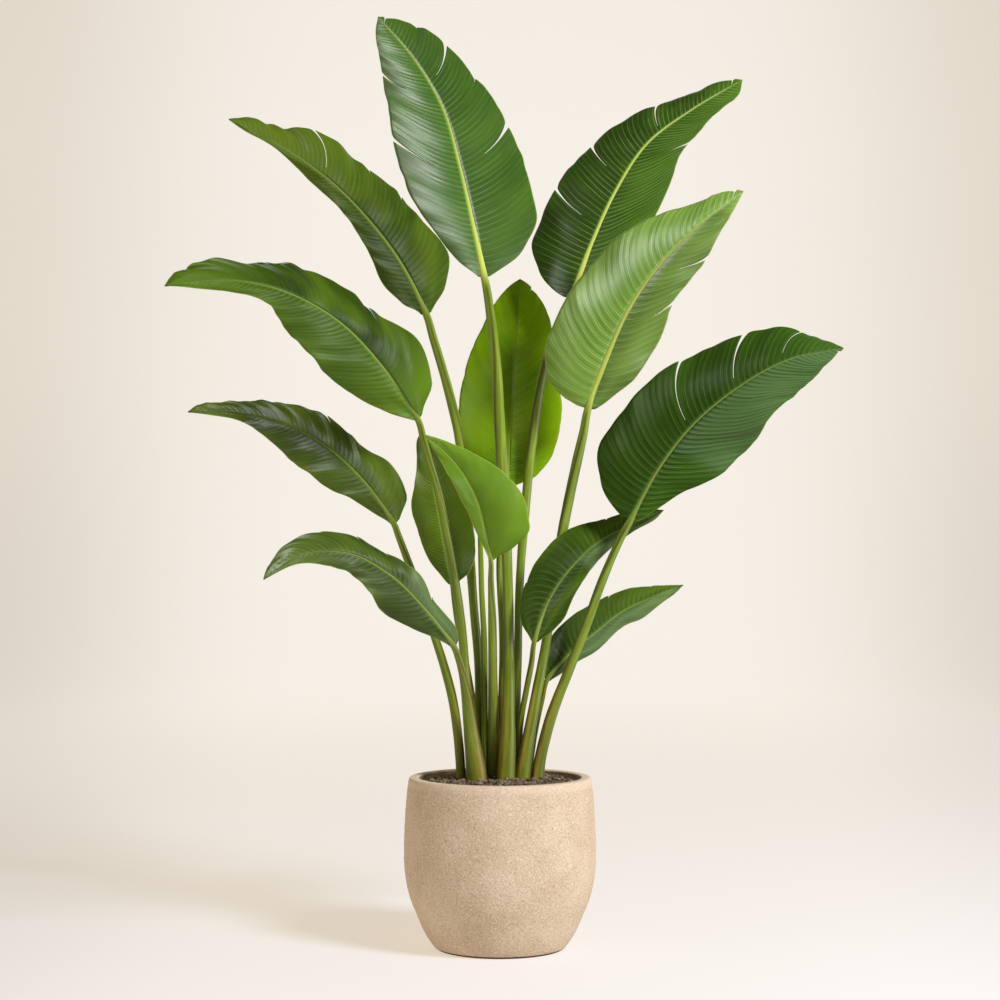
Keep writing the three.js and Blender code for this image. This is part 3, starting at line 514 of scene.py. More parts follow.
def blade_material(name, look, under=False):
    p = Paint(name)
    vein, place, rim = p.attribute("vein"), p.attribute("place"), p.attribute("rim")
    ribs, tip = p.attribute("ribs"), p.attribute("tip")
    here = p.place()
    wander = p.times(p.math("SUBTRACT", p.noise(here, 16.0, 2), 0.5), 0.5)
    lines = p.math("ADD", vein, wander)
    turn = p.math("FRACT", lines)
    valley_at = p.times(p.math("ABSOLUTE", p.math("SUBTRACT", turn, 0.5)), 2.0)
    pleat_valley_shade = p.span(valley_at, 0.8, 1.0)
    crest = p.span(valley_at, 0.12, 0.0)
    outer = p.math("ABSOLUTE", place)
    across = p.times(place, 1.3)
    uneven = p.noise(p.join(p.times(vein, 0.35), across, 7.0), 1.0, 2, 0.5)
    coarse = p.noise(p.join(p.times(lines, 1.7), across, 0.0), 1.0, 3, 0.6)
    fine = p.noise(p.join(p.times(lines, 6.0), across, 3.0), 1.0, 3, 0.65)
    patch = p.noise(here, 7.0, 3)
    near_rib = p.span(outer, 0.85, 0.05, look["reach"], 1.0)
    folds = p.noise(p.join(p.times(vein, 0.1), p.times(place, 0.8), 11.0), 1.0, 1, 0.4)
    seen = p.times(near_rib, p.span(uneven, 0.3, 0.65, 0.25, 1.0))
    seen = p.times(seen, p.span(place, -0.02, 0.02, *look["sides"]))
    low, high = look["greens"]
    pale = look["vein"]
    if under:
        low, high = tuple(0.75 * c for c in look["under"]), look["under"]
        pale = tuple(1.5 * c for c in look["under"])
    color = p.mix(p.span(patch, 0.3, 0.7), low, high)
    color = p.over(color, (p.span(coarse, 0.4, 0.7), 0.4, high),
                   # the outer part paler; on leaf_11 this is painted light shining through its thin margins
                   (p.span(outer, 0.2, 1.0), look["edge"], tuple(1.25 * c for c in high)))
    # painted light and shade: lift makes each half brighter or darker for how the light falls on it
    color = p.mix(1.0, color, p.span(place, -0.02, 0.02, *look["lift"]), "MULTIPLY")
    ends = p.math("MAXIMUM", p.span(tip, look["tipward"], 30.0), p.span(tip, *look["baseward"]))
    # lighter green toward the tip and the base, and painted light on the tops of the broad folds
    ends_and_fold_light = p.math("MAXIMUM", ends, p.span(folds, 0.5, 0.72, 0.0, 0.6))
    color = p.over(color, (ends_and_fold_light, 0.6, look["end_green_and_fold_light"]),
                   (p.span(fine, 0.5, 0.8), 0.22, pale),
                   # painted shade: the pleats' valleys darkened to a shaded copy of the green
                   (pleat_valley_shade, p.times(seen, 0.6), tuple(0.4 * c for c in low)),
                   (crest, p.times(seen, 0.75), pale),
                   (p.span(ribs, 4.0, 0.0), 0.35, pale),                # beside the midrib
                   # the underside's duller colour: partly a fold's real underside, partly a painted sheen
                   (p.attribute("pale"), 1.0, look["under"]),
                   (p.span(rim, 1.5, 0.5), 0.55, look["margin"]),
                   (p.span(tip, 7.0, 1.0), 1.0, (0.12, 0.07, 0.025)))   # dry point
    rough = p.span(coarse, 0.2, 0.8, look["rough"] - 0.04, look["rough"] + 0.06) if not under else 0.6
    ridge = p.math("POWER", p.math("SUBTRACT", 1.0, valley_at), 0.7)
    height = p.math("ADD", p.times(fine, 0.3), p.times(ridge, seen))
    height = p.math("ADD", height, p.times(coarse, 0.7))
    normal = p.bump(height, look["relief"], 0.0009, p.bump(folds, 1.0, look["fold"]))
    level = look["gloss"] if not under else 0.35
    return p.finish(Base_Color=color, Roughness=rough, Normal=normal, Specular_IOR_Level=level)


def stalk_material():
    p = Paint("leaf_stalk")
    rise, channel, seam = p.attribute("rise"), p.attribute("channel"), p.attribute("seam")
    rust, turn, onrib = p.attribute("rust"), p.attribute("turn"), p.attribute("onrib")
    here = p.place()
    long = p.join(p.times(turn, 5.0), p.times(rise, 0.01), rust)
    streak = p.noise(long, 1.0, 4, 0.6)
    patch = p.noise(here, 8.0, 3)
    low = p.mix(p.span(rise, 60.0, 420.0), (0.085, 0.115, 0.006), (0.12, 0.175, 0.011))
    high = p.mix(p.span(rise, 60.0, 420.0), (0.17, 0.21, 0.016), (0.23, 0.315, 0.03))
    foot = p.times(p.span(rise, 300.0, 40.0), rust)
    tan = p.mix(p.span(p.noise(long, 2.3, 2), 0.35, 0.65), (0.4, 0.32, 0.02), (0.4, 0.2, 0.05))
    flush = p.times(p.attribute("flush"), p.span(streak, 0.36, 0.58))
    midrib = p.mix(p.attribute("yellow"), (0.12, 0.175, 0.03), (0.48, 0.56, 0.1))
    color = p.over(p.mix(p.span(streak, 0.3, 0.7), low, high),
                   (p.span(patch, 0.45, 0.75), 0.4, low),
                   (foot, flush, tan),
                   # painted shade: a near-black stripe along each stalk's channel, and under the edge of
                   # the rolled new leaf
                   (channel, 0.8, (0.035, 0.05, 0.004)),
                   (seam, p.span(rise, 330.0, 90.0, 0.15, 0.9), (0.3, 0.12, 0.03)),
                   (onrib, 1.0, midrib))
    rough = p.math("ADD", p.span(streak, 0.2, 0.8, 0.42, 0.52), p.times(onrib, 0.3))
    normal = p.bump(streak, 0.2, 0.0006)
    return p.finish(Base_Color=color, Roughness=rough, Normal=normal, Specular_IOR_Level=0.25)


def pot_material():
    p = Paint("planter_stone")
    here = p.place()
    worm = p.noise(here, 360.0, 3, 0.6)
    cloud = p.noise(here, 14.0, 3)
    fine = p.noise(here, 900.0, 2)
    specks = p.node("TexVoronoi", {"Vector": here, "Scale": 150.0}).outputs["Distance"]
    grains = p.node("TexVoronoi", {"Vector": here, "Scale": 210.0}).outputs["Distance"]
    rise = p.node("SeparateXYZ", {0: here}).outputs[2]
    plan = p.node("VectorMath", {0: here, 1: (1, 1, 0)}, operation="MULTIPLY").outputs[0]
    radius = p.node("VectorMath", {0: plan}, operation="LENGTH").outputs["Value"]
    within = p.times(p.math("LESS_THAN", radius, (RIM_INNER + 1) * MM), p.span(rise, 0.18, 0.2))
    color = p.mix(p.span(cloud, 0.3, 0.7), (0.56, 0.42, 0.29), (0.65, 0.505, 0.365))
    color = p.over(color, (p.span(worm, 0.5, 0.3), 0.55, (0.33, 0.23, 0.14)),
                   (p.span(worm, 0.54, 0.68), 0.55, (0.84, 0.72, 0.56)),
                   (p.span(specks, 0.16, 0.08), 0.6, (0.22, 0.15, 0.09)),
                   (p.span(grains, 0.14, 0.06), 0.5, (0.9, 0.8, 0.64)),
                   (p.span(fine, 0.6, 0.75), 0.25, (0.3, 0.21, 0.13)),
                   # painted shade on the inner wall between the soil and the rim
                   (within, p.span(rise, 0.2646, 0.262), (0.15, 0.1, 0.045)),
                   # a painted contact shadow: the lowest few millimetres of the planter made near black
                   (p.span(rise, 0.0045, 0.002), 1.0, (0.06, 0.04, 0.025)),     # under the foot
                   (p.span(rise, 0.25, 0.256), 0.35, (0.74, 0.6, 0.45)))        # paler by the rim
    height = p.math("ADD", worm, p.times(fine, 0.35))
    normal = p.bump(height, 0.8, 0.001)
    return p.finish(Base_Color=color, Roughness=0.85, Normal=normal, Specular_IOR_Level=0.12)


def soil_material():
    p = Paint("potting_soil")
    here = p.place()
    tone = p.attribute("tone")
    coarse, fine = p.noise(here, 260.0, 4), p.noise(here, 900.0, 3)
    color = p.mix(p.span(coarse, 0.35, 0.65), (0.05, 0.034, 0.02), (0.15, 0.105, 0.066))
    color = p.over(color, (tone, 0.7, (0.36, 0.27, 0.18)),
                   (p.span(fine, 0.6, 0.75), 0.4, (0.26, 0.2, 0.15)))
    normal = p.bump(fine, 0.7, 0.0015)
    return p.finish(Base_Color=color, Roughness=0.95, Normal=normal, Specular_IOR_Level=0.2)


# ---------------------------------------------------------------- leaves

def rib_half(leaf, u):
    start = leaf["stalk"][-1][3] / 2
    return start + (RIB_TIP_HALF - start) * u ** RIB_TAPER


def blade_frame(leaf, rib, u):
    along = rib.tangent(u)
    start, end = (np.array(f, float) for f in leaf["face"])
    face = start + (end - start) * u[:, None]
    across = unit(np.cross(along, face))
    return along, across, np.cross(across, along)


def blade_rows(leaf, length, pleat):
    """Even rows, several to a pleat, and one on each edge of every tear."""
    count = max(round(length / pleat), 6) * PLEAT_ROWS
    half = SLIT / 2 / length
    tears = leaf["tears"] + leaf["notches"]
    starts = [vein_start(leaf, side, at, length) for side, at, _, _ in tears]
    cuts = np.array([start + way * half for start in starts for way in (-1, 1)])
    rows = np.linspace(0, 1, count + 1)
    keep = [u in (0, 1) or not len(cuts) or np.abs(cuts - u).min() > 0.3 / count for u in rows]
    return np.sort(np.concatenate([rows[keep], cuts])), count / PLEAT_ROWS


def vein_ends(leaf, side, rows, length):
    """The fraction of the midrib at whose height each side vein reaches the margin."""
    width = read_width(leaf[side], np.clip(rows, 0, 1))
    shift = np.interp(rows, [0, 1], leaf["shift"][SIDES.index(side)]) * width / length
    return np.clip(rows + shift * smooth(1 - rows, 0, 0.25), 0, 1)


def vein_start(leaf, side, end, length):
    """The row whose vein reaches the margin at this height."""
    rows = np.linspace(0, 1, 400)
    return float(np.interp(end, vein_ends(leaf, side, rows, length), rows))


def underside_and_sheen_part(leaf, side, u, place):
    """How much of the underside's duller colour a half shows: partly the real underside of a fold, partly a
    painted sheen.
    """
    pale = leaf["pale"]
    if not pale or pale[0] != side:
        return 0 * u
    within = smooth(u, pale[1] - 0.03, pale[1] + 0.03) * smooth(-u, -pale[2] - 0.06, -pale[2])
    return pale[3] * within * smooth(place, 0.0, 0.12)


def half_blade(leaf, rib, rows, pleats, side, seed):
    """Middle surface of one half, [row, place] from the midrib out, and what the material reads."""
    sign = -1 if side == "left" else 1
    ends = vein_ends(leaf, side, rows, rib.length)
    share = (np.arange(COLUMNS + 1) / COLUMNS) ** 0.92
    u = rows[:, None] + (ends - rows)[:, None] * share ** VEIN_CURVE
    shape = u.shape
    flat = u.ravel()
    along, across, up = (v.reshape(*shape, 3) for v in blade_frame(leaf, rib, flat))
    width = read_width(leaf[side], flat).reshape(shape)
    width = width * (1 + 0.012 * ripple(u * 5, seed + 7) * np.sin(math.pi * u))
    inner = np.minimum(rib_half(leaf, rows) * RIB_SHOWN / read_width(leaf[side], rows), RIB_SHARE)
    place = inner[:, None] + (1 - inner[:, None]) * share
    half_index = SIDES.index(side)
    tilts = leaf["tilt"][half_index]
    tilt = np.radians(tilts[0] + (tilts[1] - tilts[0]) * u)
    laid = tilt + math.radians(leaf["lay"][half_index])
    width = width * np.cos(tilt) / np.cos(laid)
    tilt = laid
    vein = np.radians(np.interp(u, *zip(*VEIN_ANGLES)))
    out = sign * across * np.cos(tilt)[..., None] + up * np.sin(tilt)[..., None]
    reach = width * place
    forward = reach * np.sin(vein)
    outward = reach * np.cos(vein)
    for tear_side, at, depth, opening in leaf["tears"] + leaf["notches"]:
        if tear_side != side:
            continue
        open_share = np.maximum(0, (place - (1 - depth)) / depth)
        start = vein_start(leaf, side, at, rib.length)
        distance = (rows - start)[:, None] * rib.length + 0 * place
        spread = 0.2 * open_share ** 0.6 + 0.8 * open_share ** 4
        forward += (np.sign(distance) * (opening + 1) / 2 * spread
                    * np.exp(-np.abs(distance) / TEAR_EASE))
        rounding = np.where(distance > 0, TEAR_ROUND * np.exp(-distance / 8), 0.01 * np.exp(distance / 3))
        outward -= width * rounding * open_share ** 3
    height, count, phase = leaf["wave"]
    turn = 2 * math.pi * (count * u + phase + (0 if side == "left" else WAVE_OFFSET))
    wave = height * np.sin(turn) * place ** 2 * np.sqrt(np.sin(math.pi * np.clip(u, 0, 1)))
    arch = leaf["arch"][half_index] * reach * 4 * (1 - place)
    swell = (leaf["swell"][half_index] * ripple(rows * rib.length / SWELL_LENGTH, seed, 3)[:, None]
             * place ** 1.5 * smooth(width, 8, 45))
    sink = -0.2 * np.exp(-((place - inner[:, None]) * width) / 6) * smooth(width, 10, 40)
    lift = wave + arch + swell + sink
    centre = rib.at(flat)[:, :3].reshape(*shape, 3)
    points = centre + out * outward[..., None] + along * forward[..., None] + up * lift[..., None]
    values = dict(vein=rows[:, None] * pleats + 0 * place, place=sign * place, rim=(1 - place) * width,
                  ribs=(place - inner[:, None]) * width, tip=(1 - u) * rib.length,
                  pale=underside_and_sheen_part(leaf, side, u, place))
    return points, values


def torn_cells(leaf, rows, side, columns, length):
    """Which cells of a half blade a tear removes: only the slit between its two edge rows."""
    gone = np.zeros((len(rows) - 1, columns), bool)
    middle = (rows[:-1] + rows[1:]) / 2
    outer = (np.arange(columns) + 0.5) / columns
    for tear_side, at, depth, opening in leaf["tears"] + leaf["notches"]:
        if tear_side == side:
            row = np.argmin(np.abs(middle - vein_start(leaf, side, at, length)))
            gone[row] |= outer > (1 - depth if opening > 0 else SHUT_FROM)
    return gone


def close_sheet(points, gone, thickness):
    """Upper and lower skins over the cells that are left, with walls round them."""
    rows, columns = points.shape[:2]
    ahead = np.vstack([points[1:], points[-1:]]) - np.vstack([points[:1], points[:-1]])
    beside = (np.concatenate([points[:, 1:], points[:, -1:]], 1)
              - np.concatenate([points[:, :1], points[:, :-1]], 1))
    normal = unit(np.cross(beside, ahead) + 1e-9)
    offset = normal * thickness[..., None] / 2
    both = np.concatenate([(points + offset).reshape(-1, 3), (points - offset).reshape(-1, 3)])
    total = rows * columns
    i, j = np.nonzero(~gone)
    a = i * columns + j
    upper = np.stack([a, a + 1, a + 1 + columns, a + columns], -1)
    lower = upper[:, ::-1] + total
    walls = []
    here = np.pad(~gone, 1)
    for di, dj, first, second in ((-1, 0, 0, 1), (0, 1, 1, 2), (1, 0, 2, 3), (0, -1, 3, 0)):
        open_side = ~here[1 + i + di, 1 + j + dj]
        p, q = upper[open_side, first], upper[open_side, second]
        walls.append(np.stack([p, p + total, q + total, q], -1))
    walls = np.concatenate(walls)
    faces = np.concatenate([upper, lower, walls])
    parts = np.concatenate([np.zeros(len(upper), int), np.ones(len(lower), int), np.zeros(len(walls), int)])
    return both, faces, parts


def build_blade(leaf, rib, index):
    paint = {**SHARED, **LOOKS[leaf["look"]], **leaf["paint"]}
    rows, pleats = blade_rows(leaf, rib.length, paint["pleat"])
    points, faces, parts = [], [], []
    values = {key: [] for key in ("vein", "place", "rim", "ribs", "tip", "pale")}
    start = 0
    for side in SIDES:
        half, read = half_blade(leaf, rib, rows, pleats, side, index * 20 + len(side))
        gone = torn_cells(leaf, rows, side, half.shape[1] - 1, rib.length)
        if side == "left":
            half, gone = half[:, ::-1], gone[:, ::-1]
            read = {key: value[:, ::-1] for key, value in read.items()}
        margin = smooth(read["rim"], 0, 4)
        thickness = MARGIN_THICKNESS + (BLADE_THICKNESS - MARGIN_THICKNESS) * margin
        p, f, m = close_sheet(half, gone, thickness)
        points.append(p)
        faces.append(f + start)
        parts.append(m)
        for key, value in read.items():
            values[key] += [np.tile(value.ravel(), 2)]
        start += len(p)
    joined = {key: np.concatenate(value) for key, value in values.items()}
    materials = [blade_material(leaf["name"] + "_upper", paint),
                 blade_material(leaf["name"] + "_under", paint, True)]
    piece = make_piece(leaf["name"] + "_blade", np.concatenate(points), np.concatenate(faces),
                       materials, values=joined, parts=np.concatenate(parts))
    blades.objects.link(piece)
    dress(piece, leaf["name"])


def stalk_section(turn, groove, lip_height):
    """Radius round a stalk, 1 on average: a channel on its upper side between two soft lips."""
    channel = groove * np.exp(-(turn / 0.5) ** 2)
    lips = lip_height * np.exp(-((np.abs(turn) - 0.82) / 0.22) ** 2)
    return 1 - channel + lips


def channel_side(leaf):
    """Where the channel of the free stalk faces: to the plant's middle and a little to the front."""
    lean = np.sign(leaf["rib"][0][0] - leaf["stalk"][0][0]) or 1
    if leaf["name"] == "leaf_01":
        lean = -lean
    return unit(np.array([-lean, -0.12, 0.0]))


def build_stalk(leaf, index):
    """The free stalk, its channel turned to the plant's middle, and the midrib that it runs into."""
    stalk = leaf["stalk"]
    path = Path([s[:3] for s in stalk] + [r for r in leaf["rib"][1:]])
    steps = np.linalg.norm(np.diff([s[:3] for s in stalk], axis=0), axis=1)
    free = np.concatenate([[0], np.cumsum(steps)])
    stalk_length = free[-1]
    count = round(path.length / STALK_STEP)
    run = np.linspace(0, path.length, count + 1)
    on_rib = np.clip((run - stalk_length) / (path.length - stalk_length), 0, 1)
    rib_width = rib_half(leaf, on_rib) * (1 + leaf["wide"] * smooth(on_rib, 0, 0.15))
    half = np.where(run < stalk_length, np.interp(run, free, [s[3] / 2 for s in stalk]), rib_width)
    half = np.convolve(np.pad(half, 3, mode="edge"), np.ones(7) / 7, mode="valid")
    centre = path.at(run / path.length)
    along = path.tangent(run / path.length)
    start, end = (np.array(f, float) for f in leaf["face"])
    blade_face = start + (end - start) * on_rib[:, None]
    free_face = channel_side(leaf)
    turned = smooth(run, 0.55 * stalk_length, 0.98 * stalk_length)[:, None]
    face = unit(blade_face) * turned + free_face * (1 - turned)
    across = unit(np.cross(along, face))
    up = np.cross(across, along)
    ribbed = smooth(run, stalk_length - 15, stalk_length + 30)
    yellow, sink = LOOKS[leaf["look"]]["rib"]
    depth = leaf["sunk"] + (sink - leaf["sunk"]) * on_rib ** 0.5
    centre = centre - up * (ribbed * depth * half)[:, None]
    turn = np.linspace(-math.pi, math.pi, STALK_SIDES, endpoint=False) + math.pi / STALK_SIDES
    foot = smooth(run, 260, 40)
    groove = 0.04 * (1 - ribbed)
    lips = 0.01 + 0.02 * foot
    radius = stalk_section(turn[None], groove[:, None], lips[:, None]) * half[:, None]
    swell = 1 + 0.02 * ripple(run / 120, index)[:, None] + 0.1 * foot[:, None]
    points = ring_points(centre, across, up, turn, radius, swell)
    shown = smooth(np.cos(turn), -0.1, 0.35)[None] * ribbed[:, None]
    bare = 1 - ribbed[:, None]
    seam = np.exp(-((np.abs(turn) - 0.46) / 0.13) ** 2)[None]
    flush = np.exp(-((np.abs(turn) - 0.95) / 0.4) ** 2)[None]
    # channel: where the stalk's channel lies, darkened in the material as painted shade
    values = dict(rise=run[:, None], seam=seam * bare, flush=flush * bare,
                  channel=np.exp(-(turn / 0.36) ** 2)[None] * bare, onrib=shown,
                  turn=turn / math.pi + index, rust=leaf["rust"],
                  yellow=yellow * (1 - 0.6 * on_rib[:, None]))
    piece = make_piece(leaf["name"] + "_stalk", points, tube_faces(count + 1, STALK_SIDES),
                       STALK_PAINT, values=values)
    stalks.objects.link(piece)
    dress(piece, leaf["name"])


def build_new_leaf():
    path = Path(NEW_LEAF)
    count = round(path.length / 4)
    u = np.linspace(0, 1, count + 1)
    read = path.at(u)
    centre, half = read[:, :3], read[:, 3] / 2
    along = path.tangent(u)
    across = unit(np.cross(along, np.array([0.2, -1, 0.0])))
    up = np.cross(across, along)
    turn = np.linspace(-math.pi, math.pi, STALK_SIDES, endpoint=False)
    roll = (turn[None] / math.pi + u[:, None] * 1.2) % 2 / 2
    radius = half[:, None] * (0.9 + 0.16 * roll)
    points = ring_points(centre, across, up, turn, radius)
    # channel here marks painted shade under the overlapping edge of the roll
    values = dict(rise=u[:, None] * path.length, seam=0, flush=0, channel=np.exp(-(roll / 0.06) ** 2),
                  onrib=0, turn=turn / math.pi, rust=0.3, yellow=0)
    piece = make_piece("new_leaf_roll", points, tube_faces(count + 1, STALK_SIDES), STALK_PAINT,
                       values=values)
    dress(piece, "new_leaf")


# ---------------------------------------------------------------- planter and soil

def round_profile(corners, step):
    """Even places along a smooth path through [radius, height] corners."""
    path = Path([[r, 0, z] for r, z in corners])
    count = round(path.length / step)
    return path.at(np.linspace(0, 1, count + 1))[:, [0, 2]]


def lathe(profile, sides):
    turn = np.linspace(0, 2 * math.pi, sides, endpoint=False)
    r, z = profile[:, :1], profile[:, 1:]
    return np.stack([r * np.cos(turn), r * np.sin(turn), z + 0 * turn], -1)


def build_pot():
    side = round_profile(POT_OUTER, POT_STEP)
    outer_turn = [[POT_OUTER[-1][0] - RIM_EASE * (1 - math.cos(a)) - 0.9,
                   POT_HEIGHT - RIM_EASE + RIM_EASE * math.sin(a)]
                  for a in np.linspace(0.2, math.pi / 2, 5)]
    inner_turn = [[RIM_INNER + INNER_EASE - INNER_EASE * math.sin(a),
                   POT_HEIGHT - INNER_EASE + INNER_EASE * math.cos(a)]
                  for a in np.linspace(0, math.pi / 2, 5)]
    inside = [[r - WALL, max(z, POT_FLOOR)] for r, z in POT_OUTER[2:-1]][::-1]
    corners = [[0.5, 0.4], [40, 0.3], [88, 0.3], [96, 0], *side.tolist(), *outer_turn,
               [(RIM_OUTER + RIM_INNER) / 2, POT_HEIGHT + 0.15], *inner_turn,
               *round_profile([[RIM_INNER, POT_HEIGHT - 3], *inside], 8).tolist(), [60, POT_FLOOR],
               [0.5, POT_FLOOR]]
    profile = np.array(corners)
    points = lathe(profile, POT_SIDES)
    grain = np.random.default_rng(5).normal(0, 1, points.shape[:2])
    grain = (grain + np.roll(grain, 1, 1) + np.roll(grain, 1, 0)) / 3
    zone = smooth(profile[:, 1], 2, 8) * (profile[:, 0] > RIM_INNER - 1)
    outward = unit(points[..., :2] + 1e-9)
    points[..., :2] += outward * (grain * POT_RELIEF * zone[:, None])[..., None]
    piece = make_piece("planter", points, tube_faces(len(profile), POT_SIDES), pot_material())
    dress(piece, "pot")


def icosphere():
    t = (1 + 5 ** 0.5) / 2
    points = [(-1, t, 0), (1, t, 0), (-1, -t, 0), (1, -t, 0), (0, -1, t), (0, 1, t), (0, -1, -t),
              (0, 1, -t), (t, 0, -1), (t, 0, 1), (-t, 0, -1), (-t, 0, 1)]
    faces = [(0, 11, 5), (0, 5, 1), (0, 1, 7), (0, 7, 10), (0, 10, 11), (1, 5, 9), (5, 11, 4), (11, 10, 2),
             (10, 7, 6), (7, 1, 8), (3, 9, 4), (3, 4, 2), (3, 2, 6), (3, 6, 8), (3, 8, 9), (4, 9, 5),
             (2, 4, 11), (6, 2, 10), (8, 6, 7), (9, 8, 1)]
    return unit(np.array(points, float)), np.array(faces)


def soil_height(x, y):
    r = np.hypot(x, y) / RIM_INNER
    lumps = 1.6 * np.sin(x / 7.1 + 1.3) * np.sin(y / 6.3) + 1.1 * np.sin(x / 3.7 + y / 4.9)
    return SOIL_MIDDLE - (SOIL_MIDDLE - SOIL_EDGE) * r ** 2 + lumps


def build_soil():
    """A lumpy mound that fills the planter, and loose crumbs on it."""
    draw = np.random.default_rng(SOIL_SEED)
    radius = np.linspace(0.4, RIM_INNER + 0.8, SOIL_RINGS)[:, None]
    turn = np.linspace(0, 2 * math.pi, SOIL_SIDES, endpoint=False)[None]
    x, y = radius * np.cos(turn), radius * np.sin(turn)
    z = soil_height(x, y) + draw.normal(0, 0.6, x.shape)
    top = np.stack([x, y, z], -1)
    low = [[max(r - WALL - 0.5, 5), max(h, POT_FLOOR + 0.5)] for r, h in POT_OUTER[2:-2]][::-1]
    body = lathe(np.array([*low, [0.4, POT_FLOOR + 0.5]]), SOIL_SIDES)
    points = np.concatenate([top, body])
    faces = [f[::-1] for f in tube_faces(len(points), SOIL_SIDES)]
    tone = [np.zeros(len(points) * SOIL_SIDES)]
    every = [points.reshape(-1, 3)]
    ball, ball_faces = icosphere()
    start = len(every[0])
    for _ in range(SOIL_CRUMBS):
        size = 1.0 + 4.2 * draw.random() ** 2.2
        far, way = (RIM_INNER - 2 - size) * draw.random() ** 0.5, draw.uniform(0, 2 * math.pi)
        cx, cy = far * math.cos(way), far * math.sin(way)
        stretch = draw.uniform(0.6, 1.4, 3) * [1, 1, 0.7]
        spin = draw.uniform(0, 2 * math.pi)
        shape = ball * (1 + draw.normal(0, 0.14, (len(ball), 1))) * stretch * size
        spun = np.stack([shape[:, 0] * math.cos(spin) - shape[:, 1] * math.sin(spin),
                         shape[:, 0] * math.sin(spin) + shape[:, 1] * math.cos(spin), shape[:, 2]], -1)
        every.append(spun + [cx, cy, soil_height(cx, cy) + size * 0.5])
        tone.append(np.full(len(ball), draw.random() ** 2))
        faces += [tuple(f) for f in ball_faces + start]
        start += len(ball)
    piece = make_piece("soil_bed", np.concatenate(every), faces, soil_material(),
                       smooth_shade=False, values=dict(tone=np.concatenate(tone)))
    dress(piece, "soil")


# ---------------------------------------------------------------- studio

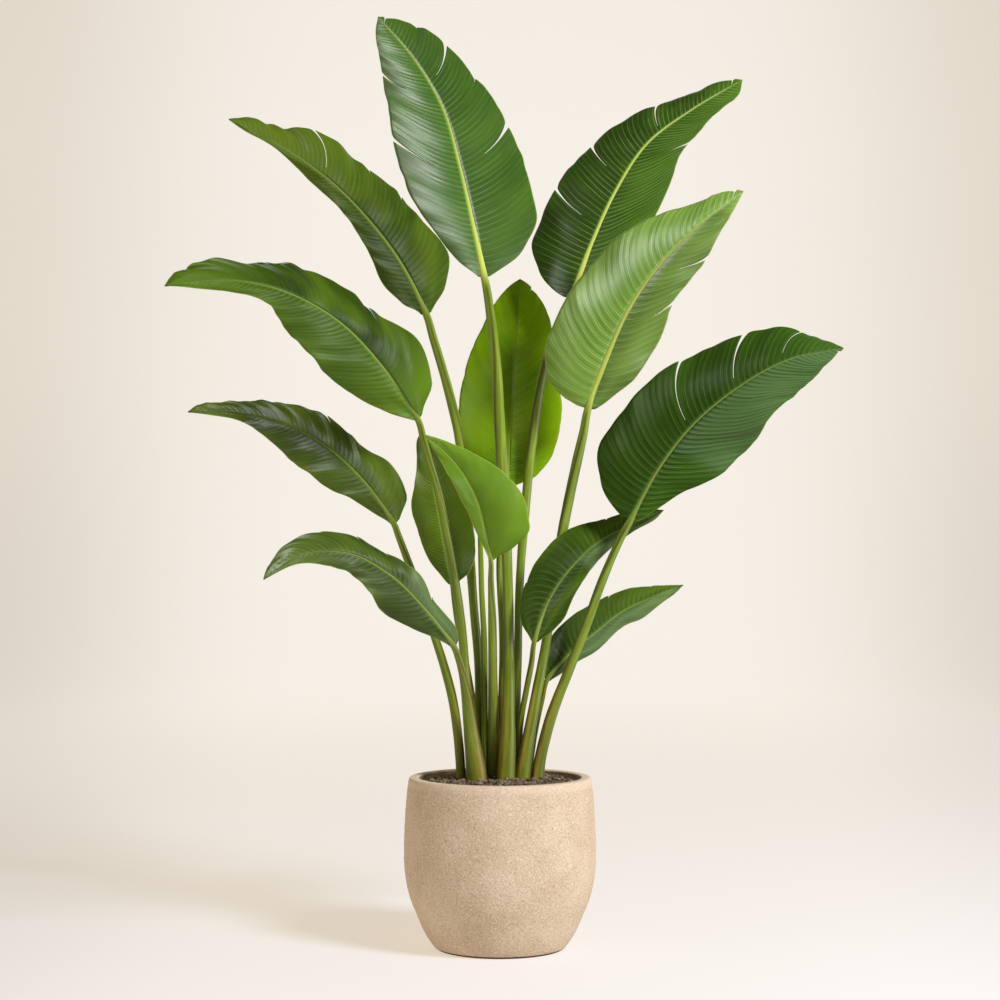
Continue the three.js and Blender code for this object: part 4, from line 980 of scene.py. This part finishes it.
def build_studio():
    bend = [[FLOOR_RADIUS + BEND_RADIUS * math.sin(a), BEND_RADIUS * (1 - math.cos(a))]
            for a in np.linspace(0, math.pi / 2, 24)]
    profile = np.array([[0.01, 0], [1, 0], [2, 0], [4, 0], *bend,
                        [FLOOR_RADIUS + BEND_RADIUS, WALL_HEIGHT]])
    points = lathe(profile, STUDIO_SIDES)
    faces = tube_faces(len(profile), STUDIO_SIDES)[:-1]
    p = Paint("studio_paper")
    place = p.node("SeparateXYZ", {0: p.place()}).outputs
    aside = p.math("SUBTRACT", place[0], GLOW_AT[0])
    above = p.times(p.math("SUBTRACT", place[2], GLOW_AT[1]), 0.25)
    away = p.math("SQRT", p.math("ADD", p.math("POWER", aside, 2.0), p.math("POWER", above, 2.0)))
    fall = p.math("POWER", p.span(away, 0.0, GLOW_REACH), 3.0)
    glow = p.mix(fall, PAPER_GLOW, PAPER_DIM)
    floor_tint = p.mix(p.span(place[1], -0.5, 6.0), FLOOR_NEAR, (1.0, 1.0, 1.0))
    glow = p.mix(1.0, glow, floor_tint, "MULTIPLY")
    beam = p.math("MAXIMUM", 1.0, p.math("ADD", 1.0, p.times(place[1], 0.22)))
    beside = p.math("DIVIDE", p.math("ABSOLUTE", aside), beam)
    side = p.mix(p.span(place[2], 0.0, 2.0), p.span(beside, 0.45, 1.0, 1.0, SIDE_SHARE), (1.0, 1.0, 1.0))
    front = p.times(p.span(place[1], -7.0, -3.5, FRONT_SHARE, 1.0), side)
    strength = p.times(front, p.span(place[2], 0.5, 4.0, 1.03, 0.99))
    paper = p.finish(Base_Color=PAPER_COLOR, Roughness=0.95, Specular_IOR_Level=0.0, Emission_Color=glow,
                     Emission_Strength=strength)
    # This sheet is in metres, and make_piece takes millimetres.
    floor = make_piece("studio_floor", points * 1000, faces, paper)
    floor.visible_shadow = False
    paper.cycles.emission_sampling = "NONE"
    world = bpy.data.worlds.new("studio_light")
    bpy.context.scene.world = world
    world.use_nodes = True
    sky = world.node_tree.nodes["Background"]
    sky.inputs["Color"].default_value = (*SKY_COLOR, 1)
    sky.inputs["Strength"].default_value = SKY_STRENGTH
    world.cycles_visibility.glossy = False


def add_light(name, at, aim, size, power, color):
    data = bpy.data.lights.new(name, "AREA")
    data.shape, data.size, data.energy, data.color = "DISK", size, power, color
    light = bpy.data.objects.new(name, data)
    light.location = at
    light.rotation_euler = (Vector(aim) - Vector(at)).to_track_quat("-Z", "Y").to_euler()
    bpy.context.scene.collection.objects.link(light)
    return light


def build_camera():
    data = bpy.data.cameras.new("camera")
    data.lens, data.sensor_width, data.sensor_fit = CAMERA_LENS, 36, "HORIZONTAL"
    camera = bpy.data.objects.new("camera", data)
    camera.location = CAMERA_AT
    camera.rotation_euler = (math.radians(90 + CAMERA_PITCH), 0, 0)
    bpy.context.scene.collection.objects.link(camera)
    bpy.context.scene.camera = camera


build_camera()
build_studio()
bpy.context.scene.view_settings.view_transform = "Standard"
blades, stalks = (bpy.data.collections.new(name) for name in ("blades", "stalks"))
# name, place, aim, size, watts, colour, what it leaves out, and the only pieces it shines on
for name, at, aim, size, power, color, without, only in (
        ("key", (2.5, -2.3, 2.9), (0, 0, 0.7), 1.2, 198, (0.98, 1.02, 1.1), "visible_glossy", None),
        ("sheen", (-2.7, -2.3, 3.4), (0, 0, 1.0), 2.4, 420, (1.0, 1.0, 0.98), "visible_diffuse", blades),
        ("front", (1.7, -3.3, 0.5), (0, 0, 0.8), 1.1, 110, (1.0, 0.98, 0.94), "visible_diffuse", blades),
        ("edge", (3.3, -1.0, 0.8), (0, 0, 0.6), 1.0, 110, (1.0, 0.98, 0.94), "visible_diffuse", stalks),
        ("fill", (-3.1, -1.9, 1.3), (0, 0, 0.7), 1.4, 13, (1.0, 0.8, 0.5), "visible_glossy", None)):
    light = add_light(name, at, aim, size, power, color)
    setattr(light, without, False)
    if only:
        light.light_linking.receiver_collection = only
STALK_PAINT = stalk_material()
build_pot()
build_soil()
for index, leaf in enumerate(LEAVES):
    midrib = Path(leaf["rib"])
    build_blade(leaf, midrib, index)
    build_stalk(leaf, index)
build_new_leaf()
